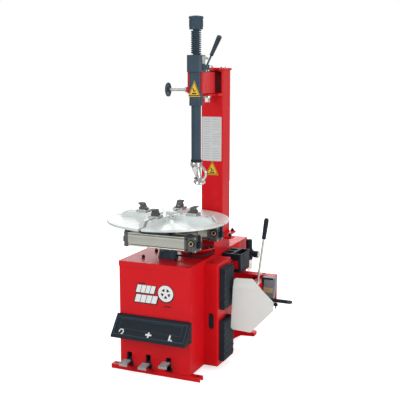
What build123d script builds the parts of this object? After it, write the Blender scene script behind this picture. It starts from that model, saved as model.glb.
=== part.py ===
from build123d import *
from math import cos, pi, radians, sin, tan
import os

os.makedirs("parts", exist_ok=True)

# Tire changer with a swing arm. Millimetres, +Z up, +X to the operator's right,
# -Y towards the operator. The origin is on the floor, midway between the anchor holes.

# ---- Driving sizes ----------------------------------------------------------------------
FIT = 0.05          # radial clearance of a shaft in its bore
GAP = 0.4           # clearance between pieces that move past each other

# cabinet
CABINET_W = 412.0
CABINET_FRONT = -173.0   # from the turntable's axis
CABINET_BACK = 655.0     # from the turntable's axis
CABINET_TOP = 596.0
SHEET = 3.0
LID_LIP = 28.0
LID_GAP = 0.5
RAIL_W = 42.0
RAIL_H = 24.0
RAIL_LEN = 518.0
RAIL_WALL = 4.0
ANCHOR_R = 6.5
ANCHOR_INSET = 22.0

# turntable
DISC_R = 320.0
DISC_TOP = 806.0
DISC_T = 12.0
SLOT_W = 16.0
SLOT_START = 70.0
GUIDE_W = 66.0
GUIDE_H = 26.0
GUIDE_IN = 46.0
GUIDE_OUT = 246.0
GUIDE_RAMP = 22.0
JAW_R = 145.0
JAW_L = 62.0
JAW_BASE_H = 14.0
JAW_CLAMP_H = 36.0
JAW_NUT_T = 8.0
SPINDLE_R = 24.0

# jaw cylinders
JAW_CYL_Y = 145.0
JAW_CYL_Z = 717.0
JAW_CYL_R = 34.0
JAW_CAP = 82.0
JAW_CAP_LEFT_X = -163.0
JAW_CAP_LEFT_T = 18.0
JAW_CAP_RIGHT_X = 234.0
JAW_CAP_RIGHT_T = 56.0
CARRIER_T = 24.0
SADDLE_L = 26.0
SADDLE_W = 46.0
SADDLE_WRAP = 8.0

# drive
GEARBOX_Z = 440.0
GEARBOX_X0 = -116.0
GEARBOX_X1 = 76.0
GEARBOX_HALF_Y = 82.0
GEARBOX_WALL = 10.0
NECK_R = 54.0
NECK_H = 40.0
WORM_Z = 500.0
WHEEL_R = 60.0
WHEEL_T = 26.0
WORM_R = 16.0
WORM_SHAFT_R = 10.0
BELT_Y = -122.0
PULLEY_W = 22.0
BIG_PULLEY_R = 85.0
SMALL_PULLEY_R = 38.0
GROOVE_D = 9.0
GROOVE_W = 13.0
MOTOR_Z = 255.0
MOTOR_R = 66.0
MOTOR_Y0 = -100.0
MOTOR_Y1 = 96.0

# column
PEDESTAL_X0 = 0.0
PEDESTAL_X1 = 199.0
PEDESTAL_Y0 = 157.0
PEDESTAL_H = 60.0
PEDESTAL_NECK_X = 160.0
PEDESTAL_WALL = 6.0
BASE_T = 12.0
COLUMN_W = 128.0
COLUMN_D = 117.0
COLUMN_X = 106.0
COLUMN_GAP = 20.0      # between the turntable and the column
COLUMN_TOP = 1578.0
COLUMN_WALL = 5.0
PLATE_T = 12.0
SHELF_TOP = 1452.0
PIVOT_OUT = 63.0       # from the column's front to the arm's pivot
PIN_R = 14.0
BOLT_R = 6.0

# swing arm, in its own frame: x from the pivot to the tool shaft, y to the right
ARM_TURN = 5.6
ARM_LEN = 193.0
ARM_HALF_W = 41.0
ARM_PLATE = 10.0
ARM_LOW = 1456.0
ARM_HIGH = 1566.0
ARM_TIP = 18.0
SLEEVE_LOW = 1394.0
SLEEVE_CORNER = 14.0
BLOCK_W = 82.0
BLOCK_CHAMFER = 14.0
BLOCK_TOP = 1652.0
HEX_AF = 45.0
HEX_LOW = 1100.0
HEX_HIGH = 1640.0
STEM_R = 17.0
CAP_LOW = 1780.0
CAP_H = 66.0
CAP_R = 35.0
SPRING_WIRE = 6.0
SPRING_TURNS = 11
SHAFT_TRAVEL = 50.0
SCREW_R = 8.0
SCREW_Z = 1476.0
SCREW_OUT = 104.0
HANDWHEEL_R = 37.0
HANDWHEEL_T = 16.0
LEVER_TILT = 25.0
LEVER_Z = 1590.0
LEVER_HUB = 26.0
LEVER_PIN_R = 4.0
LUG_T = 8.0
HEAD_R = 31.0
HEAD_H = 26.0

# foot pedals
PEDAL_SHAFT_Y = -40.0
PEDAL_SHAFT_Z = 75.0
PEDAL_SHAFT_R = 8.0
PEDAL_RISE = (-22.0, -25.0, -1.0)
PEDAL_NAMES = ("left_pedal", "centre_pedal", "right_pedal")
PEDAL_T = 12.0
PEDAL_H = 18.0
PEDAL_FRONT = -208.0
TREAD_W = 46.0
TREAD_L = 50.0
TREAD_T = 6.0
TREAD_TILT = 8.0
SLOT_HALF = 15.5
SLOT_TOP = 104.0
SLOT_LOW = 27.0

# hood over the pedals
HOOD_HALF_W = 212.0
HOOD_TOP = 312.0
HOOD_LOW = 206.0
HOOD_OUT = 88.0
HOOD_LIP = 9.0
HOOD_WALL = 4.0

# bead breaker
CARRIER_X1 = 280.0
CARRIER_Y0 = 10.0
CARRIER_Y1 = 195.0
CARRIER_TOP = 580.0
PAD_T = 31.0
PAD_Y0 = 33.0
PAD_Y1 = 170.0
UPPER_PAD = (330.0, 555.0)
LOWER_PAD = (47.0, 270.0)
BREAKER_Y = 225.0
BREAKER_Z = 358.0
BREAKER_CYL_R = 92.0
BREAKER_ROD_R = 10.0
BREAKER_ROD_END = 592.0
BEAM_TOP = 455.0
BEAM_LOW = 300.0
BEAM_Y0 = 343.0
BEAM_Y1 = 405.0
BEAM_END = 476.0
BEAM_PLATE = 12.0
BRACKET_LOW = 92.0
BRACKET_END = 366.0
HINGE_X = 412.0
HINGE_Y = 371.0
HINGE_PIN_R = 12.0
HUB_R = 26.0
ROD_COLLAR_X = 462.0
ARM_W = 54.0
COVER_Y0 = 262.0
COVER_Y1 = 300.0
COVER_LOW = 352.0
COVER_TOP = 468.0
BLADE_Y = 100.0
BLADE_T = 8.0
BLADE_BEND_Z = 446.0
BLADE_BEND = 14.0

# tool tray and air service unit on the right side
TRAY_Y0 = 247.0
TRAY_Y1 = 395.0
TRAY_X1 = 316.0
TRAY_TOP = 585.0
TRAY_SHALLOW = 32.0
TRAY_DEEP = 103.0
TRAY_SPLIT = 266.0
TRAY_WALL = 4.0
UNIT_X = 248.0
UNIT_Y = 572.0
UNIT_Z = 495.0
UNIT_W = 46.0
UNIT_H = 40.0
KNOB_R = 17.0

# ---- Places worked out from the sizes ---------------------------------------------------
# Datum planes through the turntable's axis: all sizes in depth are taken from it.
AXIS_Y = -(CABINET_FRONT + CABINET_BACK) / 2
FLOOR = Plane(origin=(0, AXIS_Y, 0), x_dir=(1, 0, 0), z_dir=(0, 0, 1))
FACE = Plane(origin=(0, AXIS_Y, 0), x_dir=(1, 0, 0), z_dir=(0, -1, 0))
SIDE = Plane(origin=(0, AXIS_Y, 0), x_dir=(0, 1, 0), z_dir=(1, 0, 0))

HALF_W = CABINET_W / 2
BODY_X = HALF_W - SHEET - LID_GAP
BODY_FRONT = CABINET_FRONT + SHEET + LID_GAP
BODY_BACK = CABINET_BACK - SHEET - LID_GAP
LID_UNDER = CABINET_TOP - SHEET
BODY_MID_Y = (BODY_FRONT + BODY_BACK) / 2
BODY_D = BODY_BACK - BODY_FRONT
BODY_H = LID_UNDER - RAIL_H
DISC_UNDER = DISC_TOP - DISC_T
GUIDE_TOP = DISC_TOP + GUIDE_H
CARRIER_LOW = JAW_CYL_Z + JAW_CAP / 2
WORM_X = -(WHEEL_R + WORM_R + GAP)
BASE_TOP = CABINET_TOP + PEDESTAL_H + BASE_T
COLUMN_FRONT = DISC_R + COLUMN_GAP
COLUMN_BACK = COLUMN_FRONT + COLUMN_D
PIVOT_Y = COLUMN_FRONT - PIVOT_OUT
PEDESTAL_Y1 = COLUMN_FRONT + 33
BASE_BACK = COLUMN_BACK + 21
PIN_TOP = COLUMN_TOP + PLATE_T
HEX_R = HEX_AF / 2 / cos(radians(30))
HEX_HOLE = HEX_AF + 2 * GAP
SPRING_R = HEX_AF / 2 + 1
LEVER_Y = BLOCK_W / 2 + 12.5
PEDAL_X = (57.0 - HALF_W, -38.0, 80.0)
BEAM_GAP_LOW = BEAM_LOW + BEAM_PLATE + GAP
BEAM_GAP_HIGH = BEAM_TOP - BEAM_PLATE - GAP

ARM_FRAME = Plane(
    origin=(COLUMN_X, AXIS_Y + PIVOT_Y, 0),
    x_dir=(sin(radians(ARM_TURN)), -cos(radians(ARM_TURN)), 0),
    z_dir=(0, 0, 1),
)
TOOL_FRAME = Plane(origin=ARM_FRAME.from_local_coords((ARM_LEN, 0, 0)),
                   x_dir=ARM_FRAME.x_dir, z_dir=(0, 0, 1))


def save(piece, name):
    """Label a finished piece and write it under its own name."""
    piece.label = name
    export_step(piece, f"parts/{name}.step")


# ---- Foot rails: channels, open below, with a sleeved anchor hole at each end -----------
RAIL_Y = {
    "front_foot_rail": CABINET_FRONT + RAIL_W / 2,
    "rear_foot_rail": CABINET_BACK - RAIL_W / 2,
}
for rail_name, rail_y in RAIL_Y.items():
    with BuildPart(FLOOR) as rail:
        with BuildSketch(FLOOR):
            with Locations((0, rail_y)):
                Rectangle(RAIL_LEN, RAIL_W)
        extrude(amount=RAIL_H)
        with BuildSketch(FLOOR):
            with Locations((0, rail_y)):
                Rectangle(RAIL_LEN, RAIL_W - 2 * RAIL_WALL)
        extrude(amount=RAIL_H - RAIL_WALL, mode=Mode.SUBTRACT)
        with BuildSketch(FLOOR):
            with Locations((0, rail_y)):
                with GridLocations(RAIL_LEN - 2 * ANCHOR_INSET, 1, 2, 1):
                    Circle(ANCHOR_R + 5)
        extrude(amount=RAIL_H)
        with Locations((0, rail_y, RAIL_H)):
            with GridLocations(RAIL_LEN - 2 * ANCHOR_INSET, 1, 2, 1):
                Hole(radius=ANCHOR_R, depth=RAIL_H)
    save(rail.part, rail_name)

# ---- Cabinet shell: floor, front, right and rear walls in one folded sheet --------------
with BuildPart() as cabinet_shell:
    with BuildSketch(FLOOR.offset(RAIL_H)):
        with Locations((0, BODY_MID_Y)):
            Rectangle(2 * BODY_X, BODY_D)
    extrude(amount=BODY_H)
    with BuildSketch(FLOOR.offset(RAIL_H + SHEET)):
        with Locations((-SHEET, BODY_MID_Y)):
            Rectangle(2 * BODY_X, BODY_D - 2 * SHEET)
    extrude(amount=BODY_H, mode=Mode.SUBTRACT)
    with BuildSketch(FACE.offset(-BODY_FRONT)):
        for pedal_x in PEDAL_X:
            with Locations((pedal_x, (SLOT_TOP + SLOT_LOW) / 2)):
                Rectangle(2 * SLOT_HALF, SLOT_TOP - SLOT_LOW)
            with Locations((pedal_x, SLOT_LOW + 14)):
                Rectangle(2 * SLOT_HALF + 14, 28)
    extrude(amount=SHEET * 2, both=True, mode=Mode.SUBTRACT)
    with BuildSketch(SIDE.offset(BODY_X - SHEET)):
        with Locations((BREAKER_Y, BREAKER_Z)):
            Circle(BREAKER_ROD_R + 4)
    extrude(amount=SHEET * 2, both=True, mode=Mode.SUBTRACT)
save(cabinet_shell.part, "cabinet_shell")

# ---- Side cover: the removable left panel, with rows of vents ---------------------------
with BuildPart() as side_cover:
    with BuildSketch(SIDE.offset(-BODY_X)):
        with Locations((BODY_MID_Y, RAIL_H + SHEET + BODY_H / 2)):
            Rectangle(BODY_D - 2 * SHEET - 2 * LID_GAP, BODY_H - 2 * SHEET)
        with Locations((BODY_FRONT + 170, 300)):
            with GridLocations(1, 18, 1, 7):
                SlotOverall(90, 6, mode=Mode.SUBTRACT)
    extrude(amount=SHEET)
save(side_cover.part, "side_cover")

# ---- Top plate: a lid with a folded lip and the hole for the drive neck -----------------
with BuildPart(FLOOR) as top_plate:
    with BuildSketch(FLOOR.offset(CABINET_TOP - LID_LIP)):
        with Locations((0, (CABINET_FRONT + CABINET_BACK) / 2)):
            RectangleRounded(CABINET_W, CABINET_BACK - CABINET_FRONT, 4)
    extrude(amount=LID_LIP)
    with BuildSketch(FLOOR.offset(CABINET_TOP - LID_LIP)):
        with Locations((0, (CABINET_FRONT + CABINET_BACK) / 2)):
            Rectangle(CABINET_W - 2 * SHEET, CABINET_BACK - CABINET_FRONT - 2 * SHEET)
    extrude(amount=LID_LIP - SHEET, mode=Mode.SUBTRACT)
    with Locations((0, 0, CABINET_TOP)):
        Hole(radius=SPINDLE_R + 16, depth=2 * SHEET)
    fillet(top_plate.edges().filter_by(Axis.Z, reverse=True).group_by(Axis.Z)[-1]
           .filter_by(lambda e: e.length > 300), 1.5)
save(top_plate.part, "top_plate")

# ---- Pad carrier: the box on the right wall that takes the tyre's thrust ----------------
with BuildPart() as pad_carrier:
    with BuildSketch(FLOOR.offset(RAIL_H)):
        with Locations(((BODY_X + CARRIER_X1) / 2, (CARRIER_Y0 + CARRIER_Y1) / 2)):
            Rectangle(CARRIER_X1 - BODY_X, CARRIER_Y1 - CARRIER_Y0)
    extrude(amount=CABINET_TOP - LID_LIP - LID_GAP - RAIL_H)
    with BuildSketch(FLOOR.offset(RAIL_H)):
        with Locations(((HALF_W + LID_GAP + CARRIER_X1) / 2, (CARRIER_Y0 + CARRIER_Y1) / 2)):
            Rectangle(CARRIER_X1 - HALF_W - LID_GAP, CARRIER_Y1 - CARRIER_Y0)
    extrude(amount=CARRIER_TOP - RAIL_H)
    fillet(pad_carrier.edges().filter_by(Axis.Z).sort_by(Axis.X)[-2:], 5)
    with BuildSketch(FLOOR.offset(RAIL_H)):
        with Locations(((BODY_X + CARRIER_X1) / 2, (CARRIER_Y0 + CARRIER_Y1) / 2)):
            Rectangle(CARRIER_X1 - BODY_X - 12, CARRIER_Y1 - CARRIER_Y0 - 12)
    extrude(amount=CARRIER_TOP - LID_LIP - RAIL_H, mode=Mode.SUBTRACT)
    with BuildSketch(FACE.offset(-CARRIER_Y0)):
        with Locations((243, 271)):
            SlotOverall(88, 30, rotation=90)
    extrude(amount=10, both=True, mode=Mode.SUBTRACT)
save(pad_carrier.part, "pad_carrier")

# ---- Two rubber pads --------------------------------------------------------------------
for pad_name, (pad_low, pad_high) in (("upper_bead_pad", UPPER_PAD),
                                      ("lower_bead_pad", LOWER_PAD)):
    with BuildPart() as bead_pad:
        with BuildSketch(SIDE.offset(CARRIER_X1)):
            with Locations(((PAD_Y0 + PAD_Y1) / 2, (pad_low + pad_high) / 2)):
                RectangleRounded(PAD_Y1 - PAD_Y0, pad_high - pad_low, 5)
        extrude(amount=PAD_T)
        fillet(bead_pad.edges().group_by(Axis.X)[-1], 3)
    save(bead_pad.part, pad_name)

# ---- Pedal hood: a sloping moulded cover with a recessed panel --------------------------
HOOD_FRONT = BODY_FRONT - HOOD_OUT
with BuildPart() as pedal_hood:
    with BuildSketch(SIDE.offset(-HOOD_HALF_W)):
        Polygon((BODY_FRONT, HOOD_TOP), (BODY_FRONT - 12, HOOD_TOP),
                (HOOD_FRONT, HOOD_LOW + HOOD_LIP), (HOOD_FRONT, HOOD_LOW),
                (BODY_FRONT, HOOD_LOW), align=None)
    extrude(amount=2 * HOOD_HALF_W)
    fillet(pedal_hood.edges().filter_by(Axis.X).group_by(Axis.Z)[-1].sort_by(Axis.Y)[:1], 8)
    with BuildSketch(SIDE.offset(-HOOD_HALF_W + HOOD_WALL)):
        Polygon((BODY_FRONT, HOOD_TOP - 2 * HOOD_WALL),
                (BODY_FRONT - 12 + HOOD_WALL / 2, HOOD_TOP - 2 * HOOD_WALL),
                (HOOD_FRONT + HOOD_WALL, HOOD_LOW), (BODY_FRONT, HOOD_LOW), align=None)
    extrude(amount=2 * HOOD_HALF_W - 2 * HOOD_WALL, mode=Mode.SUBTRACT)
save(pedal_hood.part, "pedal_hood")

# ---- Column pedestal, base plate and column ---------------------------------------------
with BuildPart() as column_pedestal:
    with BuildSketch(FLOOR.offset(CABINET_TOP)) as pedestal_outline:
        Polygon((PEDESTAL_X0, PEDESTAL_Y0), (PEDESTAL_X1, PEDESTAL_Y0),
                (PEDESTAL_X1, PEDESTAL_Y1), (PEDESTAL_NECK_X, PEDESTAL_Y1),
                (PEDESTAL_NECK_X, BASE_BACK), (PEDESTAL_X0, BASE_BACK), align=None)
    extrude(amount=PEDESTAL_H)
    with BuildSketch(FLOOR.offset(CABINET_TOP)):
        add(pedestal_outline.sketch_local)
        offset(amount=-PEDESTAL_WALL, kind=Kind.INTERSECTION, mode=Mode.REPLACE)
    extrude(amount=PEDESTAL_H - PEDESTAL_WALL, mode=Mode.SUBTRACT)
save(column_pedestal.part, "column_pedestal")

EAR_X = HALF_W + 22
EAR_Y = PEDESTAL_Y0 + 156
BASE_BOLTS = (
    (PEDESTAL_X0 + 22, BASE_BACK - 22),
    (PEDESTAL_X1 - 12, BASE_BACK - 22),
    (PEDESTAL_X0 + 22, COLUMN_FRONT - 10),
    (EAR_X, EAR_Y),
)
with BuildPart(FLOOR) as column_base_plate:
    with BuildSketch(FLOOR.offset(CABINET_TOP + PEDESTAL_H)):
        with Locations(((PEDESTAL_X0 + PEDESTAL_X1) / 2, (PEDESTAL_Y0 + BASE_BACK) / 2)):
            Rectangle(PEDESTAL_X1 - PEDESTAL_X0, BASE_BACK - PEDESTAL_Y0)
        with Locations(((PEDESTAL_X1 + EAR_X + 16) / 2 - 6, EAR_Y)):
            Rectangle(EAR_X + 16 - PEDESTAL_X1 + 12, 46)
    extrude(amount=BASE_T)
    with Locations(*[(x, y, BASE_TOP) for x, y in BASE_BOLTS]):
        Hole(radius=BOLT_R + 0.5, depth=BASE_T)
save(column_base_plate.part, "column_base_plate")

with BuildPart() as column:
    with BuildSketch(FLOOR.offset(BASE_TOP)):
        with Locations((COLUMN_X, COLUMN_FRONT + COLUMN_D / 2)):
            RectangleRounded(COLUMN_W, COLUMN_D, 8)
            RectangleRounded(COLUMN_W - 2 * COLUMN_WALL, COLUMN_D - 2 * COLUMN_WALL, 3,
                             mode=Mode.SUBTRACT)
    extrude(amount=COLUMN_TOP - BASE_TOP)
    with BuildSketch(FACE.offset(-COLUMN_FRONT - COLUMN_WALL - 1)):
        with Locations((COLUMN_X, (COLUMN_TOP + SHELF_TOP) / 2)):
            Rectangle(COLUMN_W - 22, COLUMN_TOP - SHELF_TOP - 12)
    extrude(amount=COLUMN_WALL + 2, mode=Mode.SUBTRACT)
save(column.part, "column")

# ---- Pivot plates: the cap and the shelf that hold the swing arm's pin ------------------
with BuildPart() as pivot_plates:
    with BuildSketch(FLOOR.offset(COLUMN_TOP)):
        with Locations((COLUMN_X, (PIVOT_Y + COLUMN_BACK) / 2 + 2)):
            Rectangle(COLUMN_W + 8, COLUMN_BACK - PIVOT_Y + 4)
        with Locations((COLUMN_X, PIVOT_Y)):
            Circle(ARM_HALF_W + 6)
            Circle(PIN_R, mode=Mode.SUBTRACT)
    extrude(amount=PLATE_T)
    with BuildSketch(FLOOR.offset(SHELF_TOP - PLATE_T)):
        with Locations((COLUMN_X, (PIVOT_Y + COLUMN_FRONT) / 2)):
            Rectangle(COLUMN_W, COLUMN_FRONT - PIVOT_Y)
        with Locations((COLUMN_X, PIVOT_Y)):
            Circle(ARM_HALF_W + 6)
            Circle(PIN_R, mode=Mode.SUBTRACT)
    extrude(amount=PLATE_T)
save(pivot_plates.part, "pivot_plates")

with BuildPart() as pivot_pin:
    with BuildSketch(FLOOR.offset(SHELF_TOP - PLATE_T - 34)):
        with Locations((COLUMN_X, PIVOT_Y)):
            RegularPolygon(15, 6)
    extrude(amount=24)
    with BuildSketch(FLOOR.offset(SHELF_TOP - PLATE_T - 10)):
        with Locations((COLUMN_X, PIVOT_Y)):
            Circle(22)
    extrude(amount=10)
    with BuildSketch(FLOOR.offset(SHELF_TOP - PLATE_T)):
        with Locations((COLUMN_X, PIVOT_Y)):
            Circle(PIN_R)
    extrude(amount=PIN_TOP - SHELF_TOP + PLATE_T)
    with BuildSketch(FLOOR.offset(PIN_TOP)):
        with Locations((COLUMN_X, PIVOT_Y)):
            Circle(36)
    extrude(amount=12, taper=35)
save(pivot_pin.part, "pivot_pin")

# ---- Hexagon bolts of the base plate and of the lid -------------------------------------
LID_BOLTS = ((-117, -62), (76, -69), (92, 91), (-117, 91))
with BuildPart() as cover_bolts:
    for bolts, seat in ((BASE_BOLTS, BASE_TOP), (LID_BOLTS, CABINET_TOP)):
        with BuildSketch(FLOOR.offset(seat)):
            with Locations(*bolts):
                RegularPolygon(1.7 * BOLT_R, 6)
        extrude(amount=10)
        with BuildSketch(FLOOR.offset(seat + 10)):
            with Locations(*bolts):
                Circle(BOLT_R)
        extrude(amount=6)
save(cover_bolts.part, "cover_bolts")

# ---- Tool tray: a shallow round well and a deep square one ------------------------------
with BuildPart() as tool_tray:
    with BuildSketch(FLOOR.offset(TRAY_TOP - TRAY_SHALLOW)):
        with Locations(((BODY_X + TRAY_X1) / 2, (TRAY_Y0 + TRAY_Y1) / 2)):
            RectangleRounded(TRAY_X1 - BODY_X, TRAY_Y1 - TRAY_Y0, 6)
    extrude(amount=CABINET_TOP - LID_LIP - GAP - TRAY_TOP + TRAY_SHALLOW)
    with BuildSketch(FLOOR.offset(TRAY_TOP - TRAY_SHALLOW)):
        with Locations(((HALF_W + TRAY_X1) / 2 + GAP / 2, (TRAY_Y0 + TRAY_Y1) / 2)):
            RectangleRounded(TRAY_X1 - HALF_W - GAP, TRAY_Y1 - TRAY_Y0, 6)
    extrude(amount=TRAY_SHALLOW)
    with BuildSketch(FLOOR.offset(TRAY_TOP - TRAY_DEEP)):
        with Locations(((TRAY_SPLIT + TRAY_X1) / 2, (TRAY_Y0 + TRAY_Y1) / 2)):
            RectangleRounded(TRAY_X1 - TRAY_SPLIT, TRAY_Y1 - TRAY_Y0, 6)
    extrude(amount=TRAY_DEEP)
    with BuildSketch(FLOOR.offset(TRAY_TOP)):
        with Locations((HALF_W + 32, TRAY_Y0 + 42)):
            Circle(24)
        with Locations((HALF_W + 32, TRAY_Y1 - 42)):
            Circle(24)
    extrude(amount=-(TRAY_SHALLOW - TRAY_WALL), mode=Mode.SUBTRACT)
    with BuildSketch(FLOOR.offset(TRAY_TOP)):
        with Locations(((TRAY_SPLIT + TRAY_X1) / 2 + 2, (TRAY_Y0 + TRAY_Y1) / 2)):
            RectangleRounded(TRAY_X1 - TRAY_SPLIT - 2 * TRAY_WALL, TRAY_Y1 - TRAY_Y0 - 20, 4)
    extrude(amount=-(TRAY_DEEP - TRAY_WALL), mode=Mode.SUBTRACT)
save(tool_tray.part, "tool_tray")

# ---- Air service unit: regulator, bowl, gauge and knob ----------------------------------
UNIT_TOP = UNIT_Z + UNIT_H
with BuildPart() as regulator_body:
    with BuildSketch(FLOOR.offset(UNIT_Z)):
        with Locations((UNIT_X, UNIT_Y)):
            RectangleRounded(UNIT_W, UNIT_W, 6)
    extrude(amount=UNIT_H)
    with BuildSketch(FLOOR.offset(UNIT_TOP)):
        with Locations((UNIT_X, UNIT_Y)):
            Circle(13)
    extrude(amount=16)
    with BuildSketch(FLOOR.offset(UNIT_Z + 6)):
        with Locations(((BODY_X + UNIT_X) / 2, UNIT_Y)):
            Rectangle(UNIT_X - BODY_X, 30)
    extrude(amount=UNIT_H - 12)
    with Locations(Plane(origin=(UNIT_X, AXIS_Y + UNIT_Y + UNIT_W / 2, UNIT_Z + UNIT_H / 2),
                         z_dir=(0, 1, 0))):
        Hole(radius=6.6, depth=12)
save(regulator_body.part, "regulator_body")

with BuildPart() as filter_bowl:
    with BuildSketch(FLOOR.offset(UNIT_Z)):
        with Locations((UNIT_X, UNIT_Y)):
            Circle(20)
    extrude(amount=-64)
    with BuildSketch(FLOOR.offset(UNIT_Z - 64)):
        with Locations((UNIT_X, UNIT_Y)):
            Circle(20)
    extrude(amount=-10, taper=40)
    with BuildSketch(FLOOR.offset(UNIT_Z - 74)):
        with Locations((UNIT_X, UNIT_Y)):
            Circle(5)
    extrude(amount=-9)
save(filter_bowl.part, "filter_bowl")

with BuildPart() as pressure_gauge:
    with BuildSketch(SIDE.offset(UNIT_X + UNIT_W / 2)):
        with Locations((UNIT_Y, UNIT_Z + UNIT_H / 2)):
            Circle(7)
    extrude(amount=8)
    with BuildSketch(SIDE.offset(UNIT_X + UNIT_W / 2 + 8)):
        with Locations((UNIT_Y, UNIT_Z + UNIT_H / 2)):
            Circle(20)
    extrude(amount=28)
    chamfer(pressure_gauge.edges().filter_by(GeomType.CIRCLE).group_by(Axis.X)[-1], 2)
save(pressure_gauge.part, "pressure_gauge")

with BuildPart() as regulator_knob:
    with BuildSketch(FLOOR.offset(UNIT_TOP + GAP)):
        with Locations((UNIT_X, UNIT_Y)):
            Circle(KNOB_R + 5)
    extrude(amount=22, taper=12)
    with BuildSketch(FLOOR.offset(UNIT_TOP + GAP + 22)):
        with Locations((UNIT_X, UNIT_Y)):
            Circle(KNOB_R)
    extrude(amount=44)
    fillet(regulator_knob.edges().group_by(Axis.Z)[-1], 3)
    with BuildSketch(FLOOR.offset(UNIT_TOP)):
        with Locations((UNIT_X, UNIT_Y)):
            Circle(13 + FIT)
    extrude(amount=16 + GAP, mode=Mode.SUBTRACT)
save(regulator_knob.part, "regulator_knob")

# ---- Gearbox housing, neck, spindle with its worm wheel, and worm shaft -----------------
GEARBOX_MID_X = (GEARBOX_X0 + GEARBOX_X1) / 2
with BuildPart() as gearbox_housing:
    with BuildSketch(FLOOR.offset(GEARBOX_Z)):
        with Locations((GEARBOX_MID_X, 0)):
            RectangleRounded(GEARBOX_X1 - GEARBOX_X0, 2 * GEARBOX_HALF_Y, 14)
    extrude(amount=LID_UNDER - GEARBOX_Z)
    with BuildSketch(FLOOR.offset(GEARBOX_Z + GEARBOX_WALL)):
        with Locations((GEARBOX_MID_X, 0)):
            RectangleRounded(GEARBOX_X1 - GEARBOX_X0 - 2 * GEARBOX_WALL,
                             2 * (GEARBOX_HALF_Y - GEARBOX_WALL), 8)
    extrude(amount=LID_UNDER - GEARBOX_Z - 2 * GEARBOX_WALL, mode=Mode.SUBTRACT)
    with BuildSketch(FLOOR.offset(LID_UNDER)):
        Circle(SPINDLE_R + FIT)
    extrude(amount=-2 * GEARBOX_WALL, mode=Mode.SUBTRACT)
    with BuildSketch(FACE.offset(-GEARBOX_HALF_Y - 1)):
        with Locations((WORM_X, WORM_Z)):
            Circle(WORM_SHAFT_R + FIT)
    extrude(amount=2 * GEARBOX_HALF_Y + 2, mode=Mode.SUBTRACT)
save(gearbox_housing.part, "gearbox_housing")

with BuildPart() as gearbox_neck:
    with BuildSketch(FLOOR.offset(CABINET_TOP)):
        Circle(NECK_R)
    extrude(amount=8)
    with BuildSketch(FLOOR.offset(CABINET_TOP + 8)):
        Circle(NECK_R - 4)
    extrude(amount=NECK_H - 8, taper=4)
    with BuildSketch(FLOOR.offset(CABINET_TOP)):
        Circle(SPINDLE_R + FIT)
    extrude(amount=NECK_H, mode=Mode.SUBTRACT)
save(gearbox_neck.part, "gearbox_neck")

with BuildPart() as spindle:
    with BuildSketch(FLOOR.offset(GEARBOX_Z + GEARBOX_WALL + GAP)):
        Circle(SPINDLE_R)
    extrude(amount=DISC_UNDER - GEARBOX_Z - GEARBOX_WALL - GAP)
save(spindle.part, "spindle")

with BuildPart() as worm_wheel:
    with BuildSketch(FLOOR.offset(WORM_Z - WHEEL_T / 2)):
        Circle(WHEEL_R)
        with PolarLocations(WHEEL_R, 40):
            Circle(1.6, mode=Mode.SUBTRACT)
        Circle(SPINDLE_R, mode=Mode.SUBTRACT)
    extrude(amount=WHEEL_T)
save(worm_wheel.part, "worm_wheel")

with BuildPart() as worm_shaft:
    with BuildSketch(FACE.offset(-GEARBOX_HALF_Y + GEARBOX_WALL - 1)):
        with Locations((WORM_X, WORM_Z)):
            Circle(WORM_SHAFT_R)
    extrude(amount=2 * GEARBOX_HALF_Y - BELT_Y - GEARBOX_HALF_Y + PULLEY_W / 2 - GEARBOX_WALL + 1)
    with BuildSketch(FACE.offset(-50)):
        with Locations((WORM_X, WORM_Z)):
            Circle(WORM_R)
    extrude(amount=100)
    with BuildSketch(FACE.offset(-BELT_Y - PULLEY_W / 2)):
        with Locations((WORM_X, WORM_Z)):
            Circle(BIG_PULLEY_R)
    extrude(amount=PULLEY_W)
    with BuildSketch(FACE.offset(-BELT_Y - GROOVE_W / 2)):
        with Locations((WORM_X, WORM_Z)):
            Circle(BIG_PULLEY_R)
            Circle(BIG_PULLEY_R - GROOVE_D, mode=Mode.SUBTRACT)
    extrude(amount=GROOVE_W, mode=Mode.SUBTRACT)
save(worm_shaft.part, "worm_shaft")

# ---- Motor with its pulley, and the belt ------------------------------------------------
with BuildPart() as motor:
    with BuildSketch(FACE.offset(-MOTOR_Y1)):
        with Locations((WORM_X, MOTOR_Z)):
            Circle(MOTOR_R)
            with PolarLocations(MOTOR_R, 24):
                Rectangle(10, 4)
    extrude(amount=MOTOR_Y1 - MOTOR_Y0)
    with BuildSketch(FLOOR.offset(MOTOR_Z + MOTOR_R - 12)):
        with Locations((WORM_X, 0)):
            with GridLocations(1, 110, 1, 2):
                Rectangle(60, 10)
    extrude(amount=GEARBOX_Z - MOTOR_Z - MOTOR_R + 12)
    with BuildSketch(FACE.offset(-MOTOR_Y0 - 40)):
        with Locations((WORM_X, MOTOR_Z)):
            Circle(8 + FIT)
    extrude(amount=60, mode=Mode.SUBTRACT)
save(motor.part, "motor")

with BuildPart() as motor_pulley:
    with BuildSketch(FACE.offset(-MOTOR_Y0 - 38)):
        with Locations((WORM_X, MOTOR_Z)):
            Circle(8)
    extrude(amount=-BELT_Y + MOTOR_Y0 + PULLEY_W / 2 + 38)
    with BuildSketch(FACE.offset(-BELT_Y - PULLEY_W / 2)):
        with Locations((WORM_X, MOTOR_Z)):
            Circle(SMALL_PULLEY_R)
    extrude(amount=PULLEY_W)
    with BuildSketch(FACE.offset(-BELT_Y - GROOVE_W / 2)):
        with Locations((WORM_X, MOTOR_Z)):
            Circle(SMALL_PULLEY_R)
            Circle(SMALL_PULLEY_R - GROOVE_D, mode=Mode.SUBTRACT)
    extrude(amount=GROOVE_W, mode=Mode.SUBTRACT)
save(motor_pulley.part, "motor_pulley")

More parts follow.
